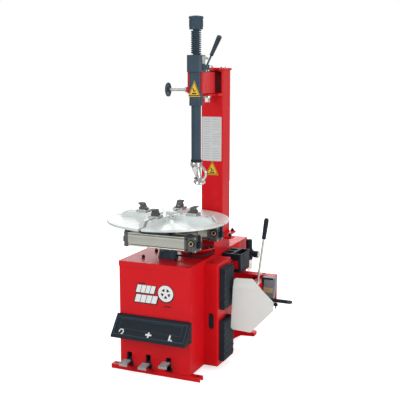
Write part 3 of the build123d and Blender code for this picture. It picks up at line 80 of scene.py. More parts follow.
@dataclass(frozen=True)
class Finish:
    """One procedural finish.

    Args:
        name: Name of the material.
        colour: Main colour, linear.
        tint: Colour that the main one drifts to in soft patches.
        roughness: Lowest roughness.
        spread: How much rougher the patches get.
        metallic: 1 for bare metal.
        coat: Weight of the clear coat.
        texture: The relief.
        relief: Height of the relief in metres.
        edge: Radius in metres that edges look rounded to.
        alpha_glass: Transmission weight, for clear parts.
        specular: Strength of the plain reflection of a part that is not metal.
        centre: Centre of the pattern in metres.
    """

    name: str
    colour: Colour
    tint: Colour
    roughness: float = 0.4
    spread: float = 0.15
    metallic: float = 0.0
    coat: float = 0.0
    texture: Texture = Texture.GRAIN
    relief: float = 0.00005
    edge: float = 0.0
    alpha_glass: float = 0.0
    specular: float = 0.3
    centre: Point = (0.0, 0.0, 0.0)

    def material(self) -> bpy.types.Material:
        """Make the node material, or return it if it has been made.

        Returns:
            The material.
        """
        known = bpy.data.materials.get(self.name)
        if known:
            return known
        mat = bpy.data.materials.new(self.name)
        mat.use_nodes = True
        nodes, links = mat.node_tree.nodes, mat.node_tree.links
        shader = next(n for n in nodes if n.type == "BSDF_PRINCIPLED")
        shader.inputs["Metallic"].default_value = self.metallic
        shader.inputs["Coat Weight"].default_value = self.coat
        shader.inputs["Specular IOR Level"].default_value = self.specular
        shader.inputs["Coat Roughness"].default_value = 0.06
        if self.alpha_glass:
            shader.inputs["Transmission Weight"].default_value = self.alpha_glass
        coords = nodes.new("ShaderNodeTexCoord")
        place = nodes.new("ShaderNodeMapping")
        place.vector_type = "TEXTURE"
        place.inputs["Location"].default_value = self.centre
        links.new(coords.outputs["Object"], place.inputs["Vector"])
        patches = self._noise(nodes, links, place.outputs["Vector"], 7.0, 4.0, 0.55)
        drift = nodes.new("ShaderNodeMix")
        drift.data_type = "RGBA"
        drift.inputs["A"].default_value = (*self.colour, 1.0)
        drift.inputs["B"].default_value = (*self.tint, 1.0)
        links.new(patches, drift.inputs["Factor"])
        links.new(drift.outputs["Result"], shader.inputs["Base Color"])
        gloss = nodes.new("ShaderNodeMapRange")
        gloss.inputs["From Min"].default_value = 0.3
        gloss.inputs["From Max"].default_value = 0.7
        gloss.inputs["To Min"].default_value = self.roughness
        gloss.inputs["To Max"].default_value = self.roughness + self.spread
        links.new(gloss.outputs["Result"], shader.inputs["Roughness"])
        relief = self._relief(nodes, links, place.outputs["Vector"], gloss, drift)
        bump = nodes.new("ShaderNodeBump")
        bump.inputs["Strength"].default_value = 0.6
        bump.inputs["Distance"].default_value = self.relief
        links.new(relief, bump.inputs["Height"])
        links.new(bump.outputs["Normal"], shader.inputs["Normal"])
        if self.edge:
            rounding = nodes.new("ShaderNodeBevel")
            rounding.samples = 4
            rounding.inputs["Radius"].default_value = self.edge
            links.new(rounding.outputs["Normal"], bump.inputs["Normal"])
        return mat

    @staticmethod
    def _noise(nodes: bpy.types.Nodes, links: bpy.types.NodeLinks, vector: bpy.types.NodeSocket,
               scale: float, detail: float, rough: float) -> bpy.types.NodeSocket:
        """Add a noise texture.

        Args:
            nodes: The tree's nodes.
            links: The tree's links.
            vector: Socket with the coordinates.
            scale: Cells per metre.
            detail: Octaves.
            rough: Weight of the fine octaves.

        Returns:
            The socket with the noise, about 0.3 to 0.7.
        """
        noise = nodes.new("ShaderNodeTexNoise")
        noise.inputs["Scale"].default_value = scale
        noise.inputs["Detail"].default_value = detail
        noise.inputs["Roughness"].default_value = rough
        links.new(vector, noise.inputs["Vector"])
        return noise.outputs["Fac"]

    def _relief(self, nodes: bpy.types.Nodes, links: bpy.types.NodeLinks, vector: bpy.types.NodeSocket,
                gloss: bpy.types.Node, drift: bpy.types.Node) -> bpy.types.NodeSocket:
        """Add the relief's height and what drives the roughness.

        Args:
            nodes: The tree's nodes.
            links: The tree's links.
            vector: Socket with the coordinates.
            gloss: Map Range node that sets the roughness.
            drift: Mix node that sets the colour.

        Returns:
            The socket with the height.
        """
        if self.texture is Texture.BRUSHED:
            stretch = nodes.new("ShaderNodeMapping")
            stretch.inputs["Scale"].default_value = (0.02, 1.0, 1.0)
            links.new(vector, stretch.inputs["Vector"])
            lines = self._noise(nodes, links, stretch.outputs["Vector"], 900.0, 3.0, 0.6)
            links.new(lines, gloss.inputs["Value"])
            return lines
        if self.texture is Texture.TURNED:
            angle = nodes.new("ShaderNodeTexGradient")
            angle.gradient_type = "RADIAL"
            links.new(vector, angle.inputs["Vector"])
            around = nodes.new("ShaderNodeMath")
            around.operation = "MULTIPLY"
            around.inputs[1].default_value = 46.0
            links.new(angle.outputs["Fac"], around.inputs[0])
            rays = nodes.new("ShaderNodeTexNoise")
            rays.noise_dimensions = "1D"
            rays.inputs["Scale"].default_value = 1.0
            rays.inputs["Detail"].default_value = 5.0
            links.new(around.outputs["Value"], rays.inputs["W"])
            links.new(rays.outputs["Fac"], gloss.inputs["Value"])
            shade = nodes.new("ShaderNodeMapRange")
            shade.inputs["From Min"].default_value = 0.35
            shade.inputs["From Max"].default_value = 0.62
            links.new(rays.outputs["Fac"], shade.inputs["Value"])
            links.new(shade.outputs["Result"], drift.inputs["Factor"])
            rings = nodes.new("ShaderNodeTexWave")
            rings.wave_type = "RINGS"
            rings.rings_direction = "Z"
            rings.inputs["Scale"].default_value = 160.0
            rings.inputs["Distortion"].default_value = 1.5
            links.new(vector, rings.inputs["Vector"])
            return rings.outputs["Fac"]
        scale = {
            Texture.ORANGE_PEEL: 420.0,
            Texture.GRAIN: 1500.0,
            Texture.CAST: 500.0,
            Texture.RUBBER: 900.0,
        }[self.texture]
        fine = self._noise(nodes, links, vector, scale, 3.0, 0.6)
        wear = self._noise(nodes, links, vector, 26.0, 6.0, 0.7)
        links.new(wear, gloss.inputs["Value"])
        return fine


@dataclass(frozen=True)
class Palette:
    """Every finish on the machine."""

    red: Finish = Finish("red_powder_coat", (0.72, 0.007, 0.013), (0.60, 0.006, 0.011), 0.30, 0.12,
                         coat=0.10, specular=0.12, texture=Texture.ORANGE_PEEL, relief=0.00006, edge=0.0018)
    # darker copy of the red paint, used as painted shade inside the column head
    shaded_red: Finish = Finish("red_painted_shade", (0.22, 0.008, 0.010), (0.15, 0.006, 0.008), 0.5, 0.2,
                              texture=Texture.ORANGE_PEEL, relief=0.00006)
    slate: Finish = Finish("slate_black_paint", (0.044, 0.080, 0.112), (0.026, 0.048, 0.070), 0.34, 0.18,
                           coat=0.08, specular=0.2, texture=Texture.ORANGE_PEEL, relief=0.00008, edge=0.0012)
    plastic: Finish = Finish("black_moulded_plastic", (0.007, 0.013, 0.020), (0.012, 0.021, 0.030), 0.40,
                             0.2, specular=0.22, texture=Texture.GRAIN, relief=0.00012, edge=0.0012)
    rubber: Finish = Finish("black_rubber", (0.010, 0.016, 0.022), (0.020, 0.030, 0.038), 0.55, 0.22,
                            specular=0.2, texture=Texture.RUBBER, relief=0.00012)
    # rib rubber tinted lighter than the pad as painted highlight along the ribs; its lower roughness and
    # higher specular are real
    rib: Finish = Finish("rubber_painted_highlight", (0.030, 0.046, 0.056), (0.055, 0.075, 0.088), 0.45, 0.2,
                         specular=0.35, texture=Texture.RUBBER, relief=0.00012)
    hose_red: Finish = Finish("red_hose", (0.62, 0.03, 0.02), (0.5, 0.02, 0.02), 0.35, 0.15,
                              texture=Texture.GRAIN, relief=0.00004)
    disc: Finish = Finish("turned_steel", (0.76, 0.80, 0.785), (0.67, 0.72, 0.71), 0.30, 0.16,
                          metallic=0.40, texture=Texture.TURNED, relief=0.00003, edge=0.0012,
                          centre=(0.0, -0.241, 0.0))
    steel: Finish = Finish("brushed_steel", (0.52, 0.53, 0.52), (0.42, 0.43, 0.43), 0.28, 0.2,
                           metallic=1.0, texture=Texture.BRUSHED, relief=0.00003, edge=0.0008)
    zinc: Finish = Finish("zinc_plate", (0.66, 0.70, 0.64), (0.52, 0.54, 0.47), 0.24, 0.22,
                          metallic=1.0, texture=Texture.CAST, relief=0.00004, edge=0.0006)
    chrome: Finish = Finish("chromed_casting", (0.80, 0.80, 0.78), (0.66, 0.66, 0.64), 0.09, 0.16,
                            metallic=1.0, texture=Texture.CAST, relief=0.00008, edge=0.001)
    alu: Finish = Finish("drawn_aluminium", (0.54, 0.545, 0.49), (0.44, 0.445, 0.40), 0.27, 0.16,
                         metallic=0.9, texture=Texture.BRUSHED, relief=0.00002, edge=0.0008)
    cast: Finish = Finish("dark_casting", (0.085, 0.09, 0.092), (0.16, 0.165, 0.165), 0.4, 0.3,
                          metallic=0.55, texture=Texture.CAST, relief=0.00035, edge=0.001)
    beige: Finish = Finish("plated_bracket", (0.42, 0.41, 0.35), (0.30, 0.30, 0.26), 0.32, 0.2,
                           metallic=0.8, texture=Texture.BRUSHED, relief=0.00004, edge=0.0008)
    white: Finish = Finish("pale_blade_paint", (0.76, 0.79, 0.765), (0.66, 0.70, 0.675), 0.34, 0.2,
                           coat=0.2, texture=Texture.ORANGE_PEEL, relief=0.00006, edge=0.002)
    grey: Finish = Finish("grey_cover_paint", (0.22, 0.25, 0.28), (0.17, 0.20, 0.22), 0.38, 0.2,
                          coat=0.1, texture=Texture.ORANGE_PEEL, relief=0.00008, edge=0.001)
    tread: Finish = Finish("pedal_plate", (0.50, 0.51, 0.50), (0.38, 0.39, 0.38), 0.4, 0.25,
                           metallic=0.6, texture=Texture.CAST, relief=0.0001, edge=0.001)
    brass: Finish = Finish("brass", (0.62, 0.47, 0.24), (0.48, 0.36, 0.18), 0.25, 0.2,
                           metallic=1.0, texture=Texture.BRUSHED, relief=0.00002)
    bowl: Finish = Finish("clear_bowl", (0.92, 0.80, 0.76), (0.90, 0.76, 0.72), 0.06, 0.05,
                          alpha_glass=0.75, texture=Texture.GRAIN, relief=0.00001)
    plate: Finish = Finish("printed_plate", (0.66, 0.68, 0.68), (0.60, 0.62, 0.62), 0.3, 0.1,
                           coat=0.2, texture=Texture.GRAIN, relief=0.00002)
    ink: Finish = Finish("black_ink", (0.012, 0.012, 0.012), (0.02, 0.02, 0.02), 0.4, 0.1,
                         texture=Texture.GRAIN, relief=0.00001)
    pale_ink: Finish = Finish("grey_ink", (0.42, 0.44, 0.45), (0.38, 0.40, 0.41), 0.4, 0.1,
                              texture=Texture.GRAIN, relief=0.00001)
    yellow: Finish = Finish("warning_yellow", (0.86, 0.55, 0.012), (0.78, 0.47, 0.01), 0.3, 0.1,
                            coat=0.3, texture=Texture.GRAIN, relief=0.00001)
    olive: Finish = Finish("faded_label", (0.50, 0.44, 0.17), (0.40, 0.36, 0.15), 0.35, 0.1,
                           texture=Texture.GRAIN, relief=0.00001)
    label: Finish = Finish("white_vinyl", (0.86, 0.86, 0.86), (0.80, 0.80, 0.80), 0.3, 0.1,
                           coat=0.2, texture=Texture.GRAIN, relief=0.00001)


PALETTE = Palette()


# ---------------------------------------------------------------------------------
# Mesh tools
# ---------------------------------------------------------------------------------
@dataclass(frozen=True)
class Frame2:
    """A flat working plane: an origin and three unit directions, n pointing out of it."""

    origin: Vector
    u: Vector
    v: Vector

    @property
    def n(self) -> Vector:
        """The plane's normal."""
        return self.u.cross(self.v)

    def at(self, a: float, b: float, c: float = 0.0) -> Vector:
        """Point at a along u, b along v and c along n."""
        return self.origin + self.u * a + self.v * b + self.n * c


class Shop:
    """Makes pieces: each one a mesh in place, on a body, with a finish."""

    MERGE = 0.00001

    @staticmethod
    def finish_mesh(name: str, bm: bmesh.types.BMesh, finish: Finish, body: str, slot: str,
                    smooth: float = 40.0) -> bpy.types.Object:
        """Turn a bmesh into a piece.

        Args:
            name: Name of the piece.
            bm: The mesh, in the row frame. It is freed.
            finish: Its finish.
            body: CAD body that it rides on.
            slot: Not used.
            smooth: Angle in degrees under which an edge is shaded smooth.

        Returns:
            The new object.
        """
        bmesh.ops.remove_doubles(bm, verts=bm.verts, dist=Shop.MERGE)
        bmesh.ops.recalc_face_normals(bm, faces=bm.faces)
        limit = math.radians(smooth)
        for face in bm.faces:
            face.smooth = True
        for edge in bm.edges:
            edge.smooth = len(edge.link_faces) == 2 and edge.calc_face_angle(0.0) < limit
        mesh = bpy.data.meshes.new(name)
        bm.to_mesh(mesh)
        bm.free()
        mesh.materials.append(finish.material())
        piece = bpy.data.objects.new(name, mesh)
        bpy.context.scene.collection.objects.link(piece)
        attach(piece, body)
        return piece

    @staticmethod
    def add_prism(bm: bmesh.types.BMesh, plane: Frame2, outline: list[tuple[float, float]],
                  low: float, high: float, bevel: float = 0.0, segments: int = 2) -> None:
        """Add a prism over an outline on a plane.

        Args:
            bm: Mesh to add to.
            plane: The plane.
            outline: Corners as (u, v).
            low: Start along the normal.
            high: End along the normal.
            bevel: Width of the bevel along all edges, or 0.
            segments: Segments of the bevel.
        """
        part = bmesh.new()
        base = part.faces.new([part.verts.new(plane.at(a, b, low)) for a, b in outline])
        grown = bmesh.ops.extrude_face_region(part, geom=[base])["geom"]
        top = [item for item in grown if isinstance(item, bmesh.types.BMVert)]
        bmesh.ops.translate(part, verts=top, vec=plane.n * (high - low))
        bmesh.ops.recalc_face_normals(part, faces=part.faces)
        if bevel:
            sharp = [e for e in part.edges if e.calc_face_angle(0.0) > 0.5]
            bmesh.ops.bevel(part, geom=sharp, offset=bevel, segments=segments,
                            affect="EDGES", clamp_overlap=True)
        Shop.join(bm, part)

    @staticmethod
    def add_bar(bm: bmesh.types.BMesh, plane: Frame2, size: tuple[float, float, float],
                place: tuple[float, float], low: float, high: float, bevel: float = 0.0,
                turn: float = 0.0) -> None:
        """Add a flat block with round corners.

        Args:
            bm: Mesh to add to.
            plane: The plane.
            size: Width, height and corner radius.
            place: Its middle as (u, v).
            low: Start along the normal.
            high: End along the normal.
            bevel: Width of the bevel along all edges, or 0.
            turn: Angle in radians that it is turned by.
        """
        Shop.add_prism(bm, plane, Shop.shifted(Shop.rounded(*size), *place, turn), low, high, bevel)

    @staticmethod
    def join(bm: bmesh.types.BMesh, part: bmesh.types.BMesh) -> None:
        """Copy part's faces into bm, and free part."""
        made = {v: bm.verts.new(v.co) for v in part.verts}
        for face in part.faces:
            bm.faces.new([made[v] for v in face.verts])
        part.free()

    @staticmethod
    def add_lathe(bm: bmesh.types.BMesh, start: Vector, axis: Vector,
                  profile: list[tuple[float, float]], sides: int = 40,
                  lobes: int = 0, depth: float = 0.0) -> None:
        """Add a turned solid.

        Args:
            bm: Mesh to add to.
            start: Point of the axis at height 0.
            axis: Direction of the axis.
            profile: (radius, height) from one end to the other; radius 0 closes an end.
            sides: Faces round it.
            lobes: Number of flutes round it.
            depth: Depth of the flutes.
        """
        w = axis.normalized()
        u = w.orthogonal().normalized()
        v = w.cross(u)
        part = bmesh.new()
        line = [part.verts.new(start + w * height + u * radius) for radius, height in profile]
        for a, b in zip(line, line[1:]):
            part.edges.new((a, b))
        bmesh.ops.spin(part, geom=part.verts[:] + part.edges[:], cent=start, axis=w, dvec=(0.0, 0.0, 0.0),
                       angle=2.0 * math.pi, steps=sides, use_merge=True)
        bmesh.ops.remove_doubles(part, verts=part.verts, dist=Shop.MERGE)
        open_ends = [edge for edge in part.edges if edge.is_boundary]
        bmesh.ops.holes_fill(part, edges=open_ends, sides=0)
        if lobes:
            for vert in part.verts:
                x, y = (vert.co - start).dot(u), (vert.co - start).dot(v)
                radius = math.hypot(x, y)
                if radius > Shop.MERGE:
                    flute = depth * (0.5 - 0.5 * math.cos(lobes * math.atan2(y, x)))
                    vert.co -= (u * x + v * y) * (flute / radius)
        Shop.join(bm, part)

    @staticmethod
    def add_rod(bm: bmesh.types.BMesh, a: Vector, b: Vector, radius: float,
                sides: int = 24) -> None:
        """Add a round bar with chamfered ends.

        Args:
            bm: Mesh to add to.
            a: Middle of one end.
            b: Middle of the other end.
            radius: Its radius.
            sides: Faces round it.
        """
        length = (b - a).length
        c = min(radius, length) * 0.12
        Shop.add_lathe(bm, a, b - a, [(radius - c, 0.0), (radius, c), (radius, length - c),
                                      (radius - c, length)], sides)

    @staticmethod
    def add_tube(bm: bmesh.types.BMesh, path: list[Vector], radius: float, sides: int = 10) -> None:
        """Add a tube with closed ends.

        Args:
            bm: Mesh to add to.
            path: Points along its middle.
            radius: Its radius.
            sides: Faces round it.
        """
        rings = []
        for i, here in enumerate(path):
            ahead = path[min(i + 1, len(path) - 1)] - path[max(i - 1, 0)]
            w = ahead.normalized()
            u = Z - w * Z.dot(w)
            u = u.normalized() if u.length > 0.1 else w.orthogonal().normalized()
            v = w.cross(u)
            rings.append([
                bm.verts.new(here + (u * math.cos(2 * math.pi * k / sides)
                                     + v * math.sin(2 * math.pi * k / sides)) * radius)
                for k in range(sides)
            ])
        for low, high in zip(rings, rings[1:]):
            for i in range(sides):
                j = (i + 1) % sides
                bm.faces.new((low[i], low[j], high[j], high[i]))
        bm.faces.new(rings[0])
        bm.faces.new(rings[-1])

    @staticmethod
    def add_bolt(bm: bmesh.types.BMesh, seat: Vector, axis: Vector, radius: float,
                 height: float) -> None:
        """Add a hexagon bolt head on a washer.

        Args:
            bm: Mesh to add to.
            seat: Point under the middle of the washer.
            axis: Direction that the head stands in.
            radius: Nominal radius of the head.
            height: Height of washer and head together, before its chamfer.
        """
        Shop.add_lathe(bm, seat, axis, [(radius * 1.45, 0.0), (radius * 1.45, height * 0.18)], 28)
        Shop.add_lathe(bm, seat + axis.normalized() * height * 0.18, axis,
                       [(radius * 1.12, 0.0), (radius * 1.15, height * 0.1),
                        (radius * 1.15, height * 0.7), (radius * 0.95, height * 0.82)], 6)

    @staticmethod
    def rounded(width: float, height: float, radius: float, steps: int = 5) -> list[tuple[float, float]]:
        """Outline of a rectangle with round corners, centred on 0.

        Args:
            width: Size along u.
            height: Size along v.
            radius: Radius of the corners.
            steps: Steps in each corner.

        Returns:
            Its corners as (u, v).
        """
        out = []
        for sx, sy, start in ((1, 1, 0), (-1, 1, 90), (-1, -1, 180), (1, -1, 270)):
            for k in range(steps + 1):
                a = math.radians(start + 90 * k / steps)
                out.append((sx * (width / 2 - radius) + radius * math.cos(a),
                            sy * (height / 2 - radius) + radius * math.sin(a)))
        return out

    @staticmethod
    def circle(radius: float, x: float = 0.0, y: float = 0.0, sides: int = 28) -> list[tuple[float, float]]:
        """Outline of a circle.

        Args:
            radius: Its radius.
            x: Its middle along u.
            y: Its middle along v.
            sides: Number of corners.

        Returns:
            Its corners as (u, v).
        """
        return [(x + radius * math.cos(2 * math.pi * k / sides),
                 y + radius * math.sin(2 * math.pi * k / sides)) for k in range(sides)]

    @staticmethod
    def shifted(outline: list[tuple[float, float]], x: float, y: float,
                turn: float = 0.0) -> list[tuple[float, float]]:
        """An outline turned and moved.

        Args:
            outline: Corners as (u, v).
            x: Move along u.
            y: Move along v.
            turn: Angle in radians.

        Returns:
            The new corners.
        """
        c, s = math.cos(turn), math.sin(turn)
        return [(x + a * c - b * s, y + a * s + b * c) for a, b in outline]




# ---------------------------------------------------------------------------------
# CAD nodes that keep their shape
# ---------------------------------------------------------------------------------
@dataclass
class CadFinishes:
    """Gives each CAD node that stays its finish."""

    groups: tuple[tuple[Finish, str], ...] = (
        (PALETTE.red, "front_foot_rail rear_foot_rail cabinet_shell side_cover top_plate pad_carrier "
                      "column_pedestal column_base_plate column pivot_plates breaker_beam swing_arm "
                      "breaker_arm"),
        (PALETTE.plastic, "pedal_hood cover_bolts tool_tray regulator_body pressure_gauge "
                          "regulator_knob cylinder_fittings breaker_rod"),
        (PALETTE.zinc, "pivot_pin"),
        (PALETTE.bowl, "filter_bowl"),
        (PALETTE.cast, "gearbox_housing motor_pulley"),
        (PALETTE.slate, "gearbox_neck cylinder_carrier arm_sleeve lock_block hex_shaft shaft_cap "
                        "lock_lever clamp_screw left_pedal centre_pedal right_pedal return_spring"),
        (PALETTE.alu, "motor breaker_cylinder foot_valves jaw_cylinders"),
        (PALETTE.rubber, "drive_belt upper_bead_pad lower_bead_pad air_hoses"),
        (PALETTE.brass, "hose_tee worm_wheel"),
        (PALETTE.steel, "pedal_shaft worm_shaft spindle jaw_right jaw_rear jaw_left jaw_front "
                        "breaker_handle"),
        (PALETTE.disc, "turntable_disc jaw_guides"),
        (PALETTE.chrome, "mount_head"),
        (PALETTE.grey, "breaker_cover"),
        (PALETTE.white, "breaker_blade"),
    )

    def dress(self) -> None:
        """Assign the finishes to the nodes' objects."""
        for finish, names in self.groups:
            for name in names.split():
                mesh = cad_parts[name].data
                mesh.materials.clear()
                mesh.materials.append(finish.material())


# ---------------------------------------------------------------------------------
# Labels
# ---------------------------------------------------------------------------------
@dataclass
class WarningLabel:
    """A yellow warning triangle with a black border and a plain picture.

    Args:
        name: Stem of the pieces' names.
        plane: Plane that it is stuck on, its origin at the middle of the lower edge.
        width: Length of the lower edge.
        height: Height of the triangle.
        body: Body that it rides on.
    """

    name: str
    plane: Frame2
    width: float
    height: float
    body: str

    def build(self) -> None:
        """Make the yellow sheet, its border and the picture."""
        w, h = self.width, self.height
        sheet = bmesh.new()
        Shop.add_prism(sheet, self.plane, self._triangle(1.0), 0.0, 0.0005)
        Shop.finish_mesh(f"{self.name}_sheet", sheet, PALETTE.yellow, self.body, "white_paint")
        ink = bmesh.new()
        outer, inner = self._triangle(0.90), self._triangle(0.76)
        for i in range(3):
            j = (i + 1) % 3
            Shop.add_prism(ink, self.plane, [outer[i], outer[j], inner[j], inner[i]], 0.0004, 0.0007)
        Shop.add_bar(ink, self.plane, (w * 0.38, h * 0.09, h * 0.03), (0, h * 0.19), 0.0004, 0.0007)
        Shop.add_bar(ink, self.plane, (w * 0.08, h * 0.26, w * 0.02), (-w * 0.06, h * 0.40), 0.0004,
                     0.0007, turn=0.35)
        Shop.add_prism(ink, self.plane, Shop.circle(w * 0.05, w * 0.07, h * 0.36), 0.0004, 0.0007)
        Shop.finish_mesh(f"{self.name}_print", ink, PALETTE.ink, self.body, "black_paint")

    def _triangle(self, share: float) -> list[tuple[float, float]]:
        """Corners of the triangle shrunk about its middle.

        Args:
            share: Size of the triangle beside the full one.

        Returns:
            Its corners as (u, v).
        """
        w, h = self.width * share, self.height * share
        foot = self.height * (1.0 - share) * 0.42
        return [(-w / 2, foot), (w / 2, foot), (0.0, foot + h)]


@dataclass
class InstructionPlate:
    """A pale plate with rows of grey strokes and two small pictures, with no lettering."""

    name: str
    plane: Frame2
    width: float
    height: float
    body: str

    def build(self) -> None:
        """Make the plate and its print."""
        sheet = bmesh.new()
        Shop.add_prism(sheet, self.plane, Shop.rounded(self.width, self.height, 0.004), 0.0, 0.0008)
        Shop.finish_mesh(f"{self.name}_sheet", sheet, PALETTE.plate, self.body, "white_paint")
        ink = bmesh.new()
        rows = 17
        for row in range(rows):
            y = self.height * (0.44 - 0.88 * row / (rows - 1))
            for side in (-1, 1):
                length = self.width * (0.40 - 0.09 * ((row * 7 + side * 3) % 4) / 3)
                x = side * self.width * 0.235 - (self.width * 0.40 - length) / 2
                if row % 6 == 5 and side > 0:
                    continue
                Shop.add_bar(ink, self.plane, (length, 0.0026, 0.001), (x, y), 0.0007, 0.0010)
        for y in (0.49, -0.49):
            Shop.add_bar(ink, self.plane, (self.width * 0.94, 0.0012, 0.0004), (0, self.height * y),
                         0.0007, 0.0010)
        Shop.finish_mesh(f"{self.name}_print", ink, PALETTE.pale_ink, self.body, "grey_paint")


@dataclass
class Emblem:
    """A generic wheel beside two slanted stripes, white on a black shadow, on the front panel."""

    plane: Frame2
    radius: float = 0.043
    stripe: float = 0.041
    slant: float = 0.012

    def build(self) -> None:
        """Make the black shadow and the white shapes."""
        black, white = bmesh.new(), bmesh.new()
        for y, x0, x1 in ((0.024, -0.098, 0.010), (-0.028, -0.106, 0.022)):
            self._stripe(black, y - 0.002, x0 - 0.004, x1 + 0.005, self.stripe + 0.008, 0.0, 0.0004)
            cuts = 4
            width = (x1 - x0) / cuts
            for k in range(cuts):
                self._stripe(white, y, x0 + k * width + 0.0016, x0 + (k + 1) * width - 0.0016, self.stripe,
                             0.0003, 0.0008)
        cx, cy = 0.070, 0.012
        Shop.add_prism(black, self.plane, Shop.circle(self.radius + 0.005, cx + 0.001, cy - 0.002, 48),
                       0.0, 0.0004)
        Shop.add_prism(white, self.plane, Shop.circle(self.radius, cx, cy, 48), 0.0003, 0.0008)
        Shop.add_prism(black, self.plane, Shop.circle(self.radius * 0.60, cx, cy, 40), 0.0007, 0.0010)
        Shop.add_prism(white, self.plane, Shop.circle(self.radius * 0.26, cx, cy, 24), 0.0009, 0.0013)
        for k in range(5):
            a = math.radians(90 + 72 * k)
            mid = self.radius * 0.40
            Shop.add_bar(white, self.plane, (self.radius * 0.42, 0.011, 0.002), (cx + mid * math.cos(a),
                         cy + mid * math.sin(a)), 0.0009, 0.0012, turn=a)
        for x, y in ((-0.066, 0.053), (0.080, -0.056)):
            Shop.add_bar(black, self.plane, (0.042, 0.0065, 0.002), (x, y), 0.0, 0.0004)
        Shop.finish_mesh("front_emblem_outline", black, PALETTE.ink, "cabinet", "black_paint")
        Shop.finish_mesh("front_emblem_shapes", white, PALETTE.label, "cabinet", "white_paint")

    def _stripe(self, bm: bmesh.types.BMesh, y: float, x0: float, x1: float, height: float, low: float,
                high: float) -> None:
        """Add a slanted bar between x0 and x1.

        Args:
            bm: Mesh to add to.
            y: Middle of the bar along v.
            x0: Its left end at mid height.
            x1: Its right end at mid height.
            height: Its height.
            low: Start along the normal.
            high: End along the normal.
        """
        lean = self.slant / 2
        Shop.add_prism(bm, self.plane, [(x0 - lean, y - height / 2), (x1 - lean, y - height / 2),
                       (x1 + lean, y + height / 2), (x0 + lean, y + height / 2)], low, high)


